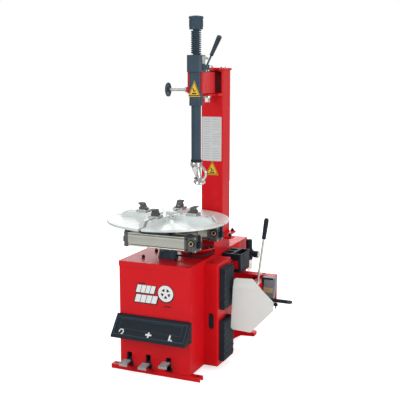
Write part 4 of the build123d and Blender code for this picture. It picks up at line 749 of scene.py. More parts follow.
# ---------------------------------------------------------------------------------
# Cabinet
# ---------------------------------------------------------------------------------
@dataclass
class Cabinet:
    """Trim of the cabinet: emblem, hood symbols, pads, screws, brackets, and dark fills as painted shade in
    slots and holes.
    """

    rib_pitch: float = 0.017
    rib_height: float = 0.0040
    symbol_x: tuple[float, float, float] = (-0.157, 0.000, 0.126)
    anchor_x: float = 0.237
    anchor_y: float = 0.393

    def build(self) -> None:
        """Make every piece of the trim."""
        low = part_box("cabinet_shell")[0]
        front = Frame2(Vector((0.0, low[1], 0.0)), X, Z)
        Emblem(Frame2(front.at(-0.004, 0.434), X, Z)).build()
        self._hood()
        for name in ("upper_bead_pad", "lower_bead_pad"):
            self._pad(name)
        self._carrier_slot_shade()
        self._tray_bracket()
        self._cover_screws()
        self._pedal_slots(low)
        self._anchors()

    def _anchors(self) -> None:
        """Black plugs sunk in the anchor holes, as painted shade inside the holes."""
        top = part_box("front_foot_rail")[1][2]
        bm = bmesh.new()
        for x in (-self.anchor_x, self.anchor_x):
            for y in (-self.anchor_y, self.anchor_y):
                Shop.add_prism(bm, Frame2(Vector((x, y, top)), X, Y), Shop.rounded(0.024, 0.016, 0.0078),
                               -0.004, 0.0008, 0.0003)
        # the black plugs are painted shade for the dark inside of the anchor holes
        Shop.finish_mesh("anchor_hole_painted_shade", bm, PALETTE.plastic, "cabinet", "black_plastic")

    def _hood(self) -> None:
        """Raised lines round the hood's sloping panel, in a paint lighter than the hood as painted highlight
        along its edges, with three white symbols.
        """
        low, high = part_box("pedal_hood")
        top = Vector((0.0, high[1] - 0.012, high[2]))
        foot = Vector((0.0, low[1], low[2] + 0.009))
        up = (top - foot).normalized()
        face = Frame2(foot + (top - foot) * 0.5, X, up)
        reach = (top - foot).length
        rim = bmesh.new()
        half = (high[0] - low[0]) / 2
        for v in (-reach * 0.40, reach * 0.36):
            Shop.add_bar(rim, face, (half * 1.90, 0.005, 0.002), (0, v), -0.001, 0.003, 0.001)
        for sx in (-1, 1):
            Shop.add_bar(rim, face, (0.005, reach * 0.80, 0.002), (sx * half * 0.945, 0), -0.001, 0.003,
                         0.001)
        v0, v1 = reach * 0.30, -reach * 0.13
        for v in (v0, v1):
            Shop.add_bar(rim, face, (half * 1.66, 0.0030, 0.0012), (0, v), -0.001, 0.0022, 0.0006)
        for sx in (-1, 1):
            Shop.add_bar(rim, face, (0.0030, v0 - v1, 0.0012), (sx * half * 0.83, (v0 + v1) / 2), -0.001,
                         0.0022, 0.0006)
        # the raised lines are real; their lighter paint is painted highlight along the recess edges
        Shop.finish_mesh("hood_rim_painted_highlight", rim, PALETTE.slate, "cabinet", "black_plastic")
        white = bmesh.new()
        deck = Frame2(face.at(0, -reach * 0.255), face.u, face.v)
        x0, x1, x2 = self.symbol_x
        r, half_line = 0.0115, 0.003
        arc = [math.radians(-60 + 265 * k / 14) for k in range(15)]
        for a, b in zip(arc, arc[1:]):
            quad = [(x0 + (r - half_line) * math.cos(a), (r - half_line) * math.sin(a)),
                    (x0 + (r + half_line) * math.cos(a), (r + half_line) * math.sin(a)),
                    (x0 + (r + half_line) * math.cos(b), (r + half_line) * math.sin(b)),
                    (x0 + (r - half_line) * math.cos(b), (r - half_line) * math.sin(b))]
            Shop.add_prism(white, deck, quad, 0.0, 0.0009)
        Shop.add_prism(white, deck, [(x0 - 0.002, -0.016), (x0 + 0.013, -0.016), (x0 + 0.006, -0.004)],
                       0.0, 0.0009)
        Shop.add_bar(white, deck, (0.034, 0.009, 0.001), (x1, 0.0), 0.0, 0.0009)
        Shop.add_bar(white, deck, (0.009, 0.032, 0.001), (x1, 0.0), 0.0001, 0.0010)
        Shop.add_bar(white, deck, (0.009, 0.036, 0.001), (x2 - 0.006, 0.0), 0.0, 0.0009)
        Shop.add_prism(white, deck, [(x2 + 0.002, -0.004), (x2 + 0.016, -0.016), (x2 + 0.002, -0.016)],
                       0.0, 0.0009)
        Shop.finish_mesh("hood_symbols", white, PALETTE.label, "cabinet", "white_paint")

    def _pad(self, name: str) -> None:
        """A rubber pad with crossing diagonal ribs on its face, in place of the plain one; the ribs are
        tinted lighter as painted highlight.

        Args:
            name: CAD node of the pad.
        """
        low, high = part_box(name)
        mid_y, mid_z = (low[1] + high[1]) / 2, (low[2] + high[2]) / 2
        w, h = high[1] - low[1], high[2] - low[2]
        plane = Frame2(Vector((low[0], mid_y, mid_z)), Y, Z)
        deep = high[0] - low[0]
        bm = bmesh.new()
        Shop.add_prism(bm, plane, Shop.rounded(w, h, 0.006), 0.0, deep - self.rib_height, 0.0022)
        lines = bmesh.new()
        ribs = int(w / self.rib_pitch)
        steps = 12
        for i in range(ribs + 1):
            base = -w / 2 + 0.009 + i * (w - 0.018) / ribs
            for k in range(steps):
                v0 = -h / 2 + 0.008 + k * (h - 0.016) / steps
                v1 = v0 + (h - 0.016) / steps
                sway0 = 0.0045 * (1 if k % 2 else -1)
                sway1 = -sway0
                lo, hi = -w / 2 + 0.004, w / 2 - 0.004
                a, b = max(lo, min(hi, base + sway0)), max(lo, min(hi, base + sway1))
                Shop.add_prism(lines, plane, [(a - 0.0026, v0), (a + 0.0026, v0), (b + 0.0026, v1),
                               (b - 0.0026, v1)], deep - self.rib_height - 0.001, deep - 0.0002)
        # the ribs' lighter colour is painted highlight
        Shop.finish_mesh(f"{name}_ribs", lines, PALETTE.rib, "cabinet", "rubber", 30)
        piece = Shop.finish_mesh(f"{name}_ribbed", bm, PALETTE.rubber, "cabinet", "rubber", 30)
        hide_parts(name)

    def _carrier_slot_shade(self) -> None:
        """Black plate just inside the rounded slot of the pad carrier, as painted shade of the opening."""
        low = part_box("pad_carrier")[0]
        plane = Frame2(Vector((0.243, low[1], 0.271)), X, Z)
        bm = bmesh.new()
        Shop.add_prism(bm, plane, Shop.rounded(0.0296, 0.0876, 0.0147, 8), -0.006, -0.0025, 0.001)
        # painted shade: the black plate darkens the slot's opening
        Shop.finish_mesh("carrier_slot_painted_shade", bm, PALETTE.plastic, "cabinet", "black_plastic")

    def _tray_bracket(self) -> None:
        """Red angle under the front of the tool tray."""
        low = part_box("tool_tray")[0]
        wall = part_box("cabinet_shell")[1][0]
        plane = Frame2(Vector((0.0, low[1] - 0.0006, 0.0)), X, Z)
        bm = bmesh.new()
        Shop.add_prism(bm, plane, [(wall + 0.0002, 0.548), (0.304, 0.548), (0.304, 0.505), (0.262, 0.498),
                                   (wall + 0.0002, 0.498)], 0.0, 0.005, 0.001)
        Shop.add_bolt(bm, plane.at(0.288, 0.527, 0.005), plane.n, 0.004, 0.004)
        Shop.finish_mesh("tray_bracket", bm, PALETTE.red, "cabinet", "red_paint")

    def _cover_screws(self) -> None:
        """Dome screws along the removable side cover and on the pad carrier."""
        low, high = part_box("side_cover")
        bm = bmesh.new()
        for y in (low[1] + 0.02, (low[1] + high[1]) / 2, high[1] - 0.02):
            for z in (low[2] + 0.03, 0.30, high[2] - 0.06):
                Shop.add_lathe(bm, Vector((low[0], y, z)), -X, [(0.0062, 0.0), (0.0058, 0.0016), (0.0030,
                               0.0030), (0.0014, 0.0031), (0.0, 0.0024)], 20)
        Shop.finish_mesh("side_cover_screws", bm, PALETTE.zinc, "cabinet", "zinc")

    def _pedal_slots(self, low: Point) -> None:
        """Dark strips just inside the three pedal slots, beside each pedal, as painted shade in the slots.

        Args:
            low: Low corner of the cabinet shell's box.
        """
        bm = bmesh.new()
        plane = Frame2(Vector((0.0, low[1] + 0.0045, 0.0)), X, Z)
        for _name, x, _rise in PEDAL_PLACES:
            for side in (-1, 1):
                Shop.add_bar(bm, plane, (0.011, 0.088, 0.002), (x + side * 0.0155, 0.072), -0.001, 0.001)
        # painted shade: the black strips darken the slots beside the pedals
        Shop.finish_mesh("pedal_slot_painted_shade", bm, PALETTE.rubber, "cabinet", "rubber")


# ---------------------------------------------------------------------------------
# Column
# ---------------------------------------------------------------------------------
@dataclass
class Column:
    """Labels and hardware of the column."""

    plate_width: float = 0.115
    plate_height: float = 0.245

    def build(self) -> None:
        """Make the labels, a dark red sheet inside the column as painted shade, and the pivot's hardware."""
        low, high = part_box("column")
        mid = (low[0] + high[0]) / 2
        front = Frame2(Vector((mid, low[1], 0.0)), X, Z)
        InstructionPlate("column_plate", Frame2(front.at(0.0, 1.202), X, Z), self.plate_width,
                         self.plate_height, "cabinet").build()
        WarningLabel("column_warning", Frame2(front.at(0.003, 1.002), X, Z), 0.076, 0.077, "cabinet").build()
        # painted shade: a dark red sheet between the cap and the shelf, where the column's inside lies in
        # shade
        shade_sheet = bmesh.new()
        Shop.add_prism(shade_sheet, Frame2(Vector((mid, low[1] + 0.09, 1.51)), X, Z),
                       Shop.rounded(0.112, 0.120, 0.002), 0.0, 0.002)
        Shop.finish_mesh("column_inner_painted_shade", shade_sheet, PALETTE.shaded_red, "cabinet", "red_paint")
        bolts = bmesh.new()
        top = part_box("pivot_plates")[1][2]
        for x, y in ((-0.045, 0.035), (0.045, 0.035), (-0.045, 0.095), (0.045, 0.095)):
            Shop.add_bolt(bolts, Vector((mid + x, low[1] + y, top)), Z, 0.0075, 0.007)
        Shop.finish_mesh("column_cap_bolts", bolts, PALETTE.zinc, "cabinet", "zinc")


# ---------------------------------------------------------------------------------
# Swing arm and tool shaft
# ---------------------------------------------------------------------------------
@dataclass
class SwingArm:
    """Arm, lock, spring and tool shaft details.

    Args:
        turn: Angle in radians of the arm from straight ahead towards +X.
        reach: Distance from the pivot to the tool shaft.
        spring_radius: Middle radius of the coil.
        wire: Radius of the coil's wire.
        turns: Turns of the coil.
        screw_height: Height of the clamp screw.
        lever_height: Height of the lock lever's pin.
        lever_out: Distance of that pin from the shaft's axis.
        lever_lean: Lean of the lever from upright.
    """

    turn: float = math.radians(5.6)
    reach: float = 0.193
    spring_radius: float = 0.0238
    wire: float = 0.0036
    turns: float = 11.5
    screw_height: float = 1.476
    lever_height: float = 1.590
    lever_out: float = 0.0535
    lever_lean: float = math.radians(25.0)

    def _frames(self) -> tuple[Frame2, Vector, Vector]:
        """Frame on the shaft's axis at the floor, with u along the arm and v to the right."""
        along = Vector((math.sin(self.turn), -math.cos(self.turn), 0.0))
        right = Vector((math.cos(self.turn), math.sin(self.turn), 0.0))
        return Frame2(ARM_PIVOT + along * self.reach, along, right), along, right

    def build(self) -> None:
        """Make every detail piece."""
        tool, along, right = self._frames()
        self._spring(tool)
        self._cap(tool)
        self._block(tool, along, right)
        self._sleeve(tool, along, right)
        self._shaft(tool, along, right)
        self._handwheel(tool, right)
        self._grip()

    def _spring(self, tool: Frame2) -> None:
        """The coil, in place of the grooved sleeve.

        Args:
            tool: Frame on the shaft's axis at the floor.
        """
        low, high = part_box("return_spring")
        bm = bmesh.new()
        path = []
        steps = int(self.turns * 28)
        length = high[2] - low[2] - 2 * self.wire
        for k in range(steps + 1):
            a = 2 * math.pi * self.turns * k / steps
            path.append(tool.at(self.spring_radius * math.cos(a), self.spring_radius * math.sin(a), 0.0)
                        + Z * (low[2] + self.wire + length * k / steps))
        Shop.add_tube(bm, path, self.wire, 10)
        coil = Shop.finish_mesh("return_spring_coil", bm, PALETTE.slate, "swing", "black_paint", 80)
        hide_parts("return_spring")
        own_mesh(coil)

    def _cap(self, tool: Frame2) -> None:
        """Moulded cap with a lip, a fluted skirt and a low dome, in place of the plain one.

        Args:
            tool: Frame on the shaft's axis at the floor.
        """
        low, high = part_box("shaft_cap")
        h = high[2] - low[2]
        bm = bmesh.new()
        Shop.add_lathe(bm, tool.origin + Z * low[2], Z, [(0.0, 0.0), (0.033, 0.0), (0.0352, 0.002),
                       (0.0355, 0.008), (0.0350, 0.010), (0.0350, 0.050), (0.0362, 0.053), (0.0380, 0.055),
                       (0.0380, 0.0625), (0.0366, 0.0655), (0.030, 0.0665), (0.018, 0.0695), (0.008,
                       h - 0.0004), (0.0, h - 0.0002)], 96)
        Shop.add_lathe(bm, tool.origin + Z * (low[2] + 0.012), Z,
                       [(0.0348, 0.0), (0.0362, 0.002), (0.0362, 0.034), (0.0348, 0.037)], 192, 32, 0.0012)
        piece = Shop.finish_mesh("shaft_cap_moulded", bm, PALETTE.slate, "tool_shaft", "black_plastic", 35)
        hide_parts("shaft_cap")

    def _block(self, tool: Frame2, along: Vector, right: Vector) -> None:
        """Pale lock plate on the block's right, its bolts, and a spring seat on top.

        Args:
            tool: Frame on the shaft's axis at the floor.
            along: Direction of the arm.
            right: Direction to the arm's right.
        """
        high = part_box("lock_block")[1]
        plane = Frame2(tool.origin + right * 0.0412, -along, Z)
        plate = bmesh.new()
        Shop.add_prism(plate, plane, [(-0.024, 1.6065), (-0.024, 1.650), (0.026, 1.650), (0.026, 1.6065)],
                       0.0, -0.013, 0.002)
        Shop.finish_mesh("lock_plate", plate, PALETTE.zinc, "swing", "zinc")
        bolts = bmesh.new()
        for x in (-0.012, 0.014):
            Shop.add_bolt(bolts, plane.at(x, 1.636) + right * 0.013, right, 0.0055, 0.006)
        Shop.finish_mesh("lock_plate_bolts", bolts, PALETTE.zinc, "swing", "zinc")
        seat = bmesh.new()
        Shop.add_lathe(seat, tool.origin + Z * high[2], Z, [(0.030, 0.0), (0.030, 0.0012), (0.0272,
                       0.0016)], 40)
        Shop.finish_mesh("spring_seat", seat, PALETTE.slate, "swing", "black_paint")

    def _sleeve(self, tool: Frame2, along: Vector, right: Vector) -> None:
        """Warning label, band at the foot of the sleeve and the pivot's washers.

        Args:
            tool: Frame on the shaft's axis at the floor.
            along: Direction of the arm.
            right: Direction to the arm's right.
        """
        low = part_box("arm_sleeve")[0]
        plane = Frame2(tool.origin + along * 0.0312 + Z * 1.441, right, Z)
        WarningLabel("sleeve_warning", plane, 0.068, 0.082, "swing").build()
        ring = bmesh.new()
        Shop.add_prism(ring, Frame2(tool.origin, along, right), Shop.rounded(0.0635, 0.0635, 0.015),
                       low[2] + 0.004, low[2] + 0.014, 0.001)
        Shop.finish_mesh("sleeve_foot_band", ring, PALETTE.slate, "swing", "black_paint")
        washers = bmesh.new()
        for z0, z1 in ((1.4522, 1.4558), (1.5662, 1.5698)):
            Shop.add_lathe(washers, ARM_PIVOT + Z * z0, Z, [(0.040, 0.0), (0.040, z1 - z0)], 48)
        Shop.finish_mesh("pivot_washers", washers, PALETTE.plastic, "swing", "black_plastic")

    def _shaft(self, tool: Frame2, along: Vector, right: Vector) -> None:
        """Dark collar at the shaft's foot and the cast mounting head in place of the plain one.

        Args:
            tool: Frame on the shaft's axis at the floor.
            along: Direction of the arm.
            right: Direction to the arm's right.
        """
        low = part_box("hex_shaft")[0][2]
        collar = bmesh.new()
        Shop.add_lathe(collar, tool.origin + Z * low, Z, [(0.0272, 0.0), (0.0285, 0.0015), (0.0285, 0.012),
                                                           (0.0272, 0.0138)], 48)
        Shop.finish_mesh("shaft_collar", collar, PALETTE.plastic, "tool_shaft", "black_paint")
        head = bmesh.new()
        Shop.add_lathe(head, tool.origin + Z * (low - 0.022), Z, [(0.0, 0.0), (0.028, 0.0), (0.0318,
                       0.003), (0.0318, 0.009), (0.030, 0.0105), (0.030, 0.0125), (0.0318, 0.014), (0.0318,
                       0.0205), (0.0305, 0.0218), (0.0, 0.0218)], 56)
        self._loft(head, tool, right, along, low)
        body = Shop.finish_mesh("mount_head_cast", head, PALETTE.chrome, "tool_shaft", "chrome", 45)
        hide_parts("mount_head")
        bolts = bmesh.new()
        for side in (-1, 1):
            Shop.add_bolt(bolts, tool.origin + along * 0.018 * side - right * 0.012 + Z * (low - 0.0225),
                          -Z, 0.005, 0.005)
        Shop.add_rod(bolts, tool.origin + right * 0.005 + along * 0.020 + Z * (low - 0.082),
                     tool.origin + right * 0.005 + along * 0.034 + Z * (low - 0.082), 0.0062, 24)
        Shop.finish_mesh("mount_head_bolts", bolts, PALETTE.cast, "tool_shaft", "iron")

    def _loft(self, bm: bmesh.types.BMesh, tool: Frame2, right: Vector, along: Vector, low: float) -> None:
        """The slanting neck, the foot that guides the bead, and the loop beside it.

        Args:
            bm: Mesh to add to.
            tool: Frame on the shaft's axis at the floor.
            right: Direction to the arm's right.
            along: Direction of the arm.
            low: Height of the shaft's foot.
        """
        sections = ((0.020, -0.002, 0.024, 0.022), (0.040, 0.001, 0.022, 0.019), (0.060, 0.007, 0.018, 0.017),
                    (0.080, 0.014, 0.015, 0.017), (0.096, 0.018, 0.018, 0.022), (0.106, 0.018, 0.026, 0.030),
                    (0.115, 0.018, 0.024, 0.030), (0.1178, 0.018, 0.018, 0.024))
        rings = []
        for drop, shift, half_r, half_a in sections:
            ring = []
            for k in range(24):
                a = 2 * math.pi * k / 24
                c, s = math.cos(a), math.sin(a)
                p = abs(c) ** 0.8 * (1 if c >= 0 else -1), abs(s) ** 0.8 * (1 if s >= 0 else -1)
                spot = tool.origin + right * (shift + p[0] * half_r) + along * (p[1] * half_a)
                ring.append(bm.verts.new(spot + Z * (low - drop)))
            rings.append(ring)
        for a, b in zip(rings, rings[1:]):
            for i in range(24):
                j = (i + 1) % 24
                bm.faces.new((a[i], a[j], b[j], b[i]))
        bm.faces.new(rings[0])
        bm.faces.new(rings[-1])
        path = []
        for k in range(25):
            t = k / 24
            bulge = math.sin(math.pi * t)
            side = right * (0.026 + 0.024 * bulge + 0.006 * t) + along * 0.002
            path.append(tool.origin + side + Z * (low - 0.016 - 0.084 * t))
        Shop.add_tube(bm, path, 0.0066, 14)
        foot = Z * (low - 0.104)
        Shop.add_rod(bm, tool.origin - right * 0.014 + foot, tool.origin + right * 0.048 + foot, 0.0095, 24)

    def _handwheel(self, tool: Frame2, right: Vector) -> None:
        """Clamp screw with a dished hand wheel, in place of the plain one, with its nut and thread.

        Args:
            tool: Frame on the shaft's axis at the floor.
            right: Direction to the arm's right.
        """
        z = self.screw_height
        wheel = bmesh.new()
        Shop.add_lathe(wheel, tool.origin - right * 0.1452 + Z * z, -right, [(0.0, 0.0), (0.012, 0.0),
                       (0.013, 0.005), (0.030, 0.0058), (0.0335, 0.003), (0.0362, 0.0036), (0.0369,
                       0.0080), (0.0358, 0.0130), (0.0325, 0.0150), (0.026, 0.0125), (0.016, 0.0115),
                       (0.012, 0.0150), (0.006, 0.0157), (0.0, 0.0157)], 64)
        piece = Shop.finish_mesh("clamp_hand_wheel", wheel, PALETTE.slate, "clamp_screw", "black_plastic", 50)
        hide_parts("clamp_screw")
        rod = bmesh.new()
        Shop.add_rod(rod, tool.origin - right * 0.0256 + Z * z, tool.origin - right * 0.1456 + Z * z,
                     0.0078, 28)
        for k in range(15):
            a = tool.origin - right * (0.064 + 0.003 * k) + Z * z
            Shop.add_lathe(rod, a, -right, [(0.0077, 0.0), (0.0080, 0.0009), (0.0077, 0.0018)], 20)
        Shop.add_lathe(rod, tool.origin - right * 0.0493 + Z * z, -right,
                       [(0.0130, 0.0), (0.0150, 0.0015), (0.0150, 0.010), (0.0130, 0.0115)], 6)
        Shop.finish_mesh("clamp_screw_thread", rod, PALETTE.steel, "clamp_screw", "steel")

    def _grip(self) -> None:
        """Ribs on the lever's grip."""
        tool, _along, right = self._frames()
        foot = tool.origin + right * self.lever_out + Z * self.lever_height
        lean = (right * math.sin(self.lever_lean) + Z * math.cos(self.lever_lean)).normalized()
        bm = bmesh.new()
        Shop.add_lathe(bm, foot + lean * 0.064, lean, [(0.0075, 0.0), (0.0100, 0.002), (0.0100, 0.006),
                       (0.0095, 0.009), (0.0108, 0.040), (0.0125, 0.080), (0.0132, 0.098), (0.0118, 0.106),
                       (0.0070, 0.1105), (0.0, 0.1118)], 48, 12, 0.0008)
        Shop.finish_mesh("lock_lever_grip", bm, PALETTE.plastic, "lock_lever", "black_plastic")


# ---------------------------------------------------------------------------------
# Turntable
# ---------------------------------------------------------------------------------
@dataclass
class Turntable:
    """Jaw clamps, hub, cylinders and fittings that turn with the table."""

    jaw_radius: float = 0.145
    cylinder_out: float = 0.145

    def build(self) -> None:
        """Make every piece on the table."""
        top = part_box("jaw_guides")[1][2]
        for turn, name in enumerate(("right", "rear", "left", "front")):
            self._jaw(name, math.radians(90 * turn), top)
        self._hub()
        self._guides(top)
        for side in (-1, 1):
            self._cylinder(side)

    def _jaw(self, name: str, turn: float, top: float) -> None:
        """Cast clamp with a hooked, serrated head on its steel slide.

        Args:
            name: Side of the table, as in the body names.
            turn: Direction of the jaw in radians from +X.
            top: Height of the guides.
        """
        out = Vector((math.cos(turn), math.sin(turn), 0.0))
        across = Z.cross(out)
        side = Frame2(TABLE_AXIS.copy(), out, Z)
        r, z = self.jaw_radius, top + 0.0004
        slide = bmesh.new()
        Shop.add_prism(slide, side, [(r - 0.031, z), (r + 0.031, z), (r + 0.031, z + 0.012), (r + 0.024,
                       z + 0.014), (r - 0.022, z + 0.014), (r - 0.031, z + 0.008)], -0.0285, 0.0285, 0.0012)
        Shop.add_prism(slide, side, [(r - 0.022, z - 0.038), (r + 0.022, z - 0.038), (r + 0.022, z + 0.002),
                                     (r - 0.022, z + 0.002)], -0.0075, 0.0075)
        Shop.add_prism(slide, side, [(r - 0.025, z - 0.0465), (r + 0.025, z - 0.0465), (r + 0.025,
                       z - 0.039), (r - 0.025, z - 0.039)], -0.0225, 0.0225, 0.001)
        piece = Shop.finish_mesh(f"jaw_{name}_slide", slide, PALETTE.steel, f"{name}_jaw", "steel")
        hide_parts(f"jaw_{name}")
        base = z + 0.0138
        clamp = bmesh.new()
        outline = [(r - 0.026, base), (r + 0.021, base), (r + 0.022, base + 0.010), (r + 0.013, base + 0.016),
                   (r + 0.013, base + 0.021), (r + 0.026, base + 0.030), (r + 0.0265, base + 0.034),
                   (r + 0.018, base + 0.0355), (r + 0.002, base + 0.0345), (r - 0.008, base + 0.029),
                   (r - 0.010, base + 0.018), (r - 0.016, base + 0.010), (r - 0.026, base + 0.005)]
        Shop.add_prism(clamp, side, outline, -0.0165, 0.0165, 0.0016)
        Shop.finish_mesh(f"jaw_{name}_clamp", clamp, PALETTE.cast, f"{name}_jaw", "iron")
        teeth = bmesh.new()
        for k in range(9):
            w = -0.0145 + 0.029 * k / 8
            face = Frame2(TABLE_AXIS + across * w, out, Z)
            Shop.add_prism(teeth, face, [(r + 0.012, base + 0.020), (r + 0.0275, base + 0.031),
                           (r + 0.0255, base + 0.0345), (r + 0.011, base + 0.0235)], -0.0011, 0.0011)
        Shop.finish_mesh(f"jaw_{name}_teeth", teeth, PALETTE.steel, f"{name}_jaw", "steel")
        bolt = bmesh.new()
        Shop.add_lathe(bolt, TABLE_AXIS + out * (r - 0.019) + Z * (base + 0.004), Z, [(0.0062, 0.0),
                       (0.0062, 0.005), (0.0036, 0.0052), (0.0034, 0.0025), (0.0, 0.0025)], 24)
        Shop.finish_mesh(f"jaw_{name}_bolt", bolt, PALETTE.zinc, f"{name}_jaw", "zinc")

    def _hub(self) -> None:
        """Round cover plate at the middle of the table."""
        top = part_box("turntable_disc")[1][2]
        bm = bmesh.new()
        Shop.add_lathe(bm, TABLE_AXIS + Z * top, Z, [(0.040, 0.0), (0.040, 0.003), (0.038, 0.0045), (0.012,
                       0.005), (0.012, 0.010), (0.0105, 0.0115), (0.0, 0.0115)], 56)
        Shop.finish_mesh("hub_cover", bm, PALETTE.disc, "turntable", "steel")
        bolts = bmesh.new()
        for k in range(4):
            a = math.radians(45 + 90 * k)
            Shop.add_lathe(bolts, TABLE_AXIS + Vector((math.cos(a), math.sin(a),
                           0)) * 0.027 + Z * (top + 0.0045), Z, [(0.0052, 0.0), (0.0052, 0.0035), (0.003,
                           0.0036), (0.0028, 0.0015), (0.0, 0.0015)], 20)
        Shop.finish_mesh("hub_cover_screws", bolts, PALETTE.cast, "turntable", "iron")

    def _guides(self, top: float) -> None:
        """Socket screws along the jaw guides.

        Args:
            top: Height of the guides.
        """
        bm = bmesh.new()
        for turn in range(4):
            a = math.radians(90 * turn)
            out = Vector((math.cos(a), math.sin(a), 0.0))
            across = Z.cross(out)
            for r in (0.066, 0.232):
                for side in (-1, 1):
                    Shop.add_lathe(bm, TABLE_AXIS + out * r + across * side * 0.0235 + Z * (top - 0.0004),
                                   Z, [(0.0050, 0.0), (0.0048, 0.0008), (0.0030, 0.0009), (0.0028, 0.0004),
                                   (0.0, 0.0004)], 18)
        Shop.finish_mesh("guide_screws", bm, PALETTE.cast, "turntable", "iron")

    def _cylinder(self, side: int) -> None:
        """One jaw cylinder: ribbed barrel, cast caps, tie rods, screws and a plated bracket.

        Args:
            side: -1 for the front cylinder, 1 for the rear one.
        """
        low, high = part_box("jaw_cylinders")
        y = TABLE_AXIS.y + side * self.cylinder_out
        z = (low[2] + high[2]) / 2
        name = "front" if side < 0 else "rear"
        centre = Vector((0.0, y, z))
        plane = Frame2(centre, Y, Z)
        barrel = bmesh.new()
        Shop.add_prism(barrel, plane, Shop.rounded(0.070, 0.068, 0.018, 8), low[0] + 0.016, high[0] - 0.054)
        for v in (-0.0225, 0.0225):
            Shop.add_bar(barrel, plane, (0.0722, 0.0028, 0.001), (0, v), low[0] + 0.017, high[0] - 0.055)
        piece = Shop.finish_mesh(f"{name}_cylinder_barrel", barrel, PALETTE.alu, "turntable", "alu")
        caps = bmesh.new()
        Shop.add_prism(caps, plane, Shop.rounded(0.081, 0.0815, 0.008), low[0], low[0] + 0.0178, 0.0016)
        Shop.add_prism(caps, plane, Shop.rounded(0.081, 0.0815, 0.008), high[0] - 0.0558, high[0] - 0.0402,
                       0.0016)
        Shop.add_prism(caps, plane, Shop.rounded(0.074, 0.075, 0.010), high[0] - 0.0405, high[0] - 0.014,
                       0.002)
        Shop.add_prism(caps, plane, Shop.rounded(0.081, 0.0815, 0.008), high[0] - 0.0145, high[0], 0.0016)
        Shop.finish_mesh(f"{name}_cylinder_caps", caps, PALETTE.cast, "turntable", "iron")
        if side < 0:
            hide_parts("jaw_cylinders")
        rods = bmesh.new()
        for u in (-0.0325, 0.0325):
            for v in (-0.0325, 0.0325):
                Shop.add_rod(rods, plane.at(u, v, low[0] + 0.017), plane.at(u, v, high[0] - 0.055), 0.0034,
                             14)
                for x, way in ((low[0], -1), (high[0], 1)):
                    Shop.add_lathe(rods, plane.at(u, v, x - way * 0.0002), X * way,
                                   [(0.0058, 0.0), (0.0058, 0.0035), (0.0052, 0.0042)], 6)
        Shop.finish_mesh(f"{name}_cylinder_rods", rods, PALETTE.zinc, "turntable", "zinc")
        ring = bmesh.new()
        Shop.add_lathe(ring, plane.at(-0.0405, 0.007, high[0] - 0.0155), -Y, [(0.0125, 0.0), (0.0125,
                       0.007), (0.0092, 0.0074), (0.0088, 0.002), (0.0, 0.002)], 36)
        Shop.finish_mesh(f"{name}_cylinder_port", ring, PALETTE.brass, "turntable", "brass")
        boss = bmesh.new()
        Shop.add_lathe(boss, plane.at(-0.0400, 0.007, high[0] - 0.0155), -Y, [(0.0185, 0.0), (0.0180,
                       0.003), (0.0135, 0.0034)], 36)
        Shop.add_lathe(boss, plane.at(-0.0420, 0.007, high[0] - 0.0155), -Y, [(0.0062, 0.0), (0.0058,
                       0.0065), (0.0, 0.0068)], 24)
        for u, v in ((-0.030, 0.026), (-0.030, -0.026), (-0.012, 0.030), (-0.012, -0.030)):
            Shop.add_lathe(boss, plane.at(-0.0405, v, high[0] - 0.048 - u * 0.2), -Y, [(0.0040, 0.0),
                           (0.0036, 0.002), (0.0, 0.0021)], 16)
        Shop.finish_mesh(f"{name}_cylinder_boss", boss, PALETTE.plastic, "turntable", "black_plastic")
        bracket = bmesh.new()
        hanger = Frame2(Vector((high[0] - 0.022, y + 0.0415, z)), Y, Z)
        Shop.add_prism(bracket, hanger, [(0.0, -0.030), (0.050, -0.024), (0.050, 0.052), (0.0, 0.052)],
                       0.0, 0.005, 0.001)
        Shop.add_prism(bracket, Frame2(Vector((high[0] - 0.056, y + 0.0415, z)), Y, Z),
                       [(0.002, 0.043), (0.048, 0.043), (0.048, 0.052), (0.002, 0.052)], 0.0, 0.036, 0.001)
        Shop.add_bolt(bracket, hanger.at(0.018, 0.018, 0.005), X, 0.006, 0.006)
        Shop.add_bolt(bracket, hanger.at(0.036, -0.006, 0.005), X, 0.006, 0.006)
        Shop.finish_mesh(f"{name}_cylinder_bracket", bracket, PALETTE.beige, "turntable", "zinc")


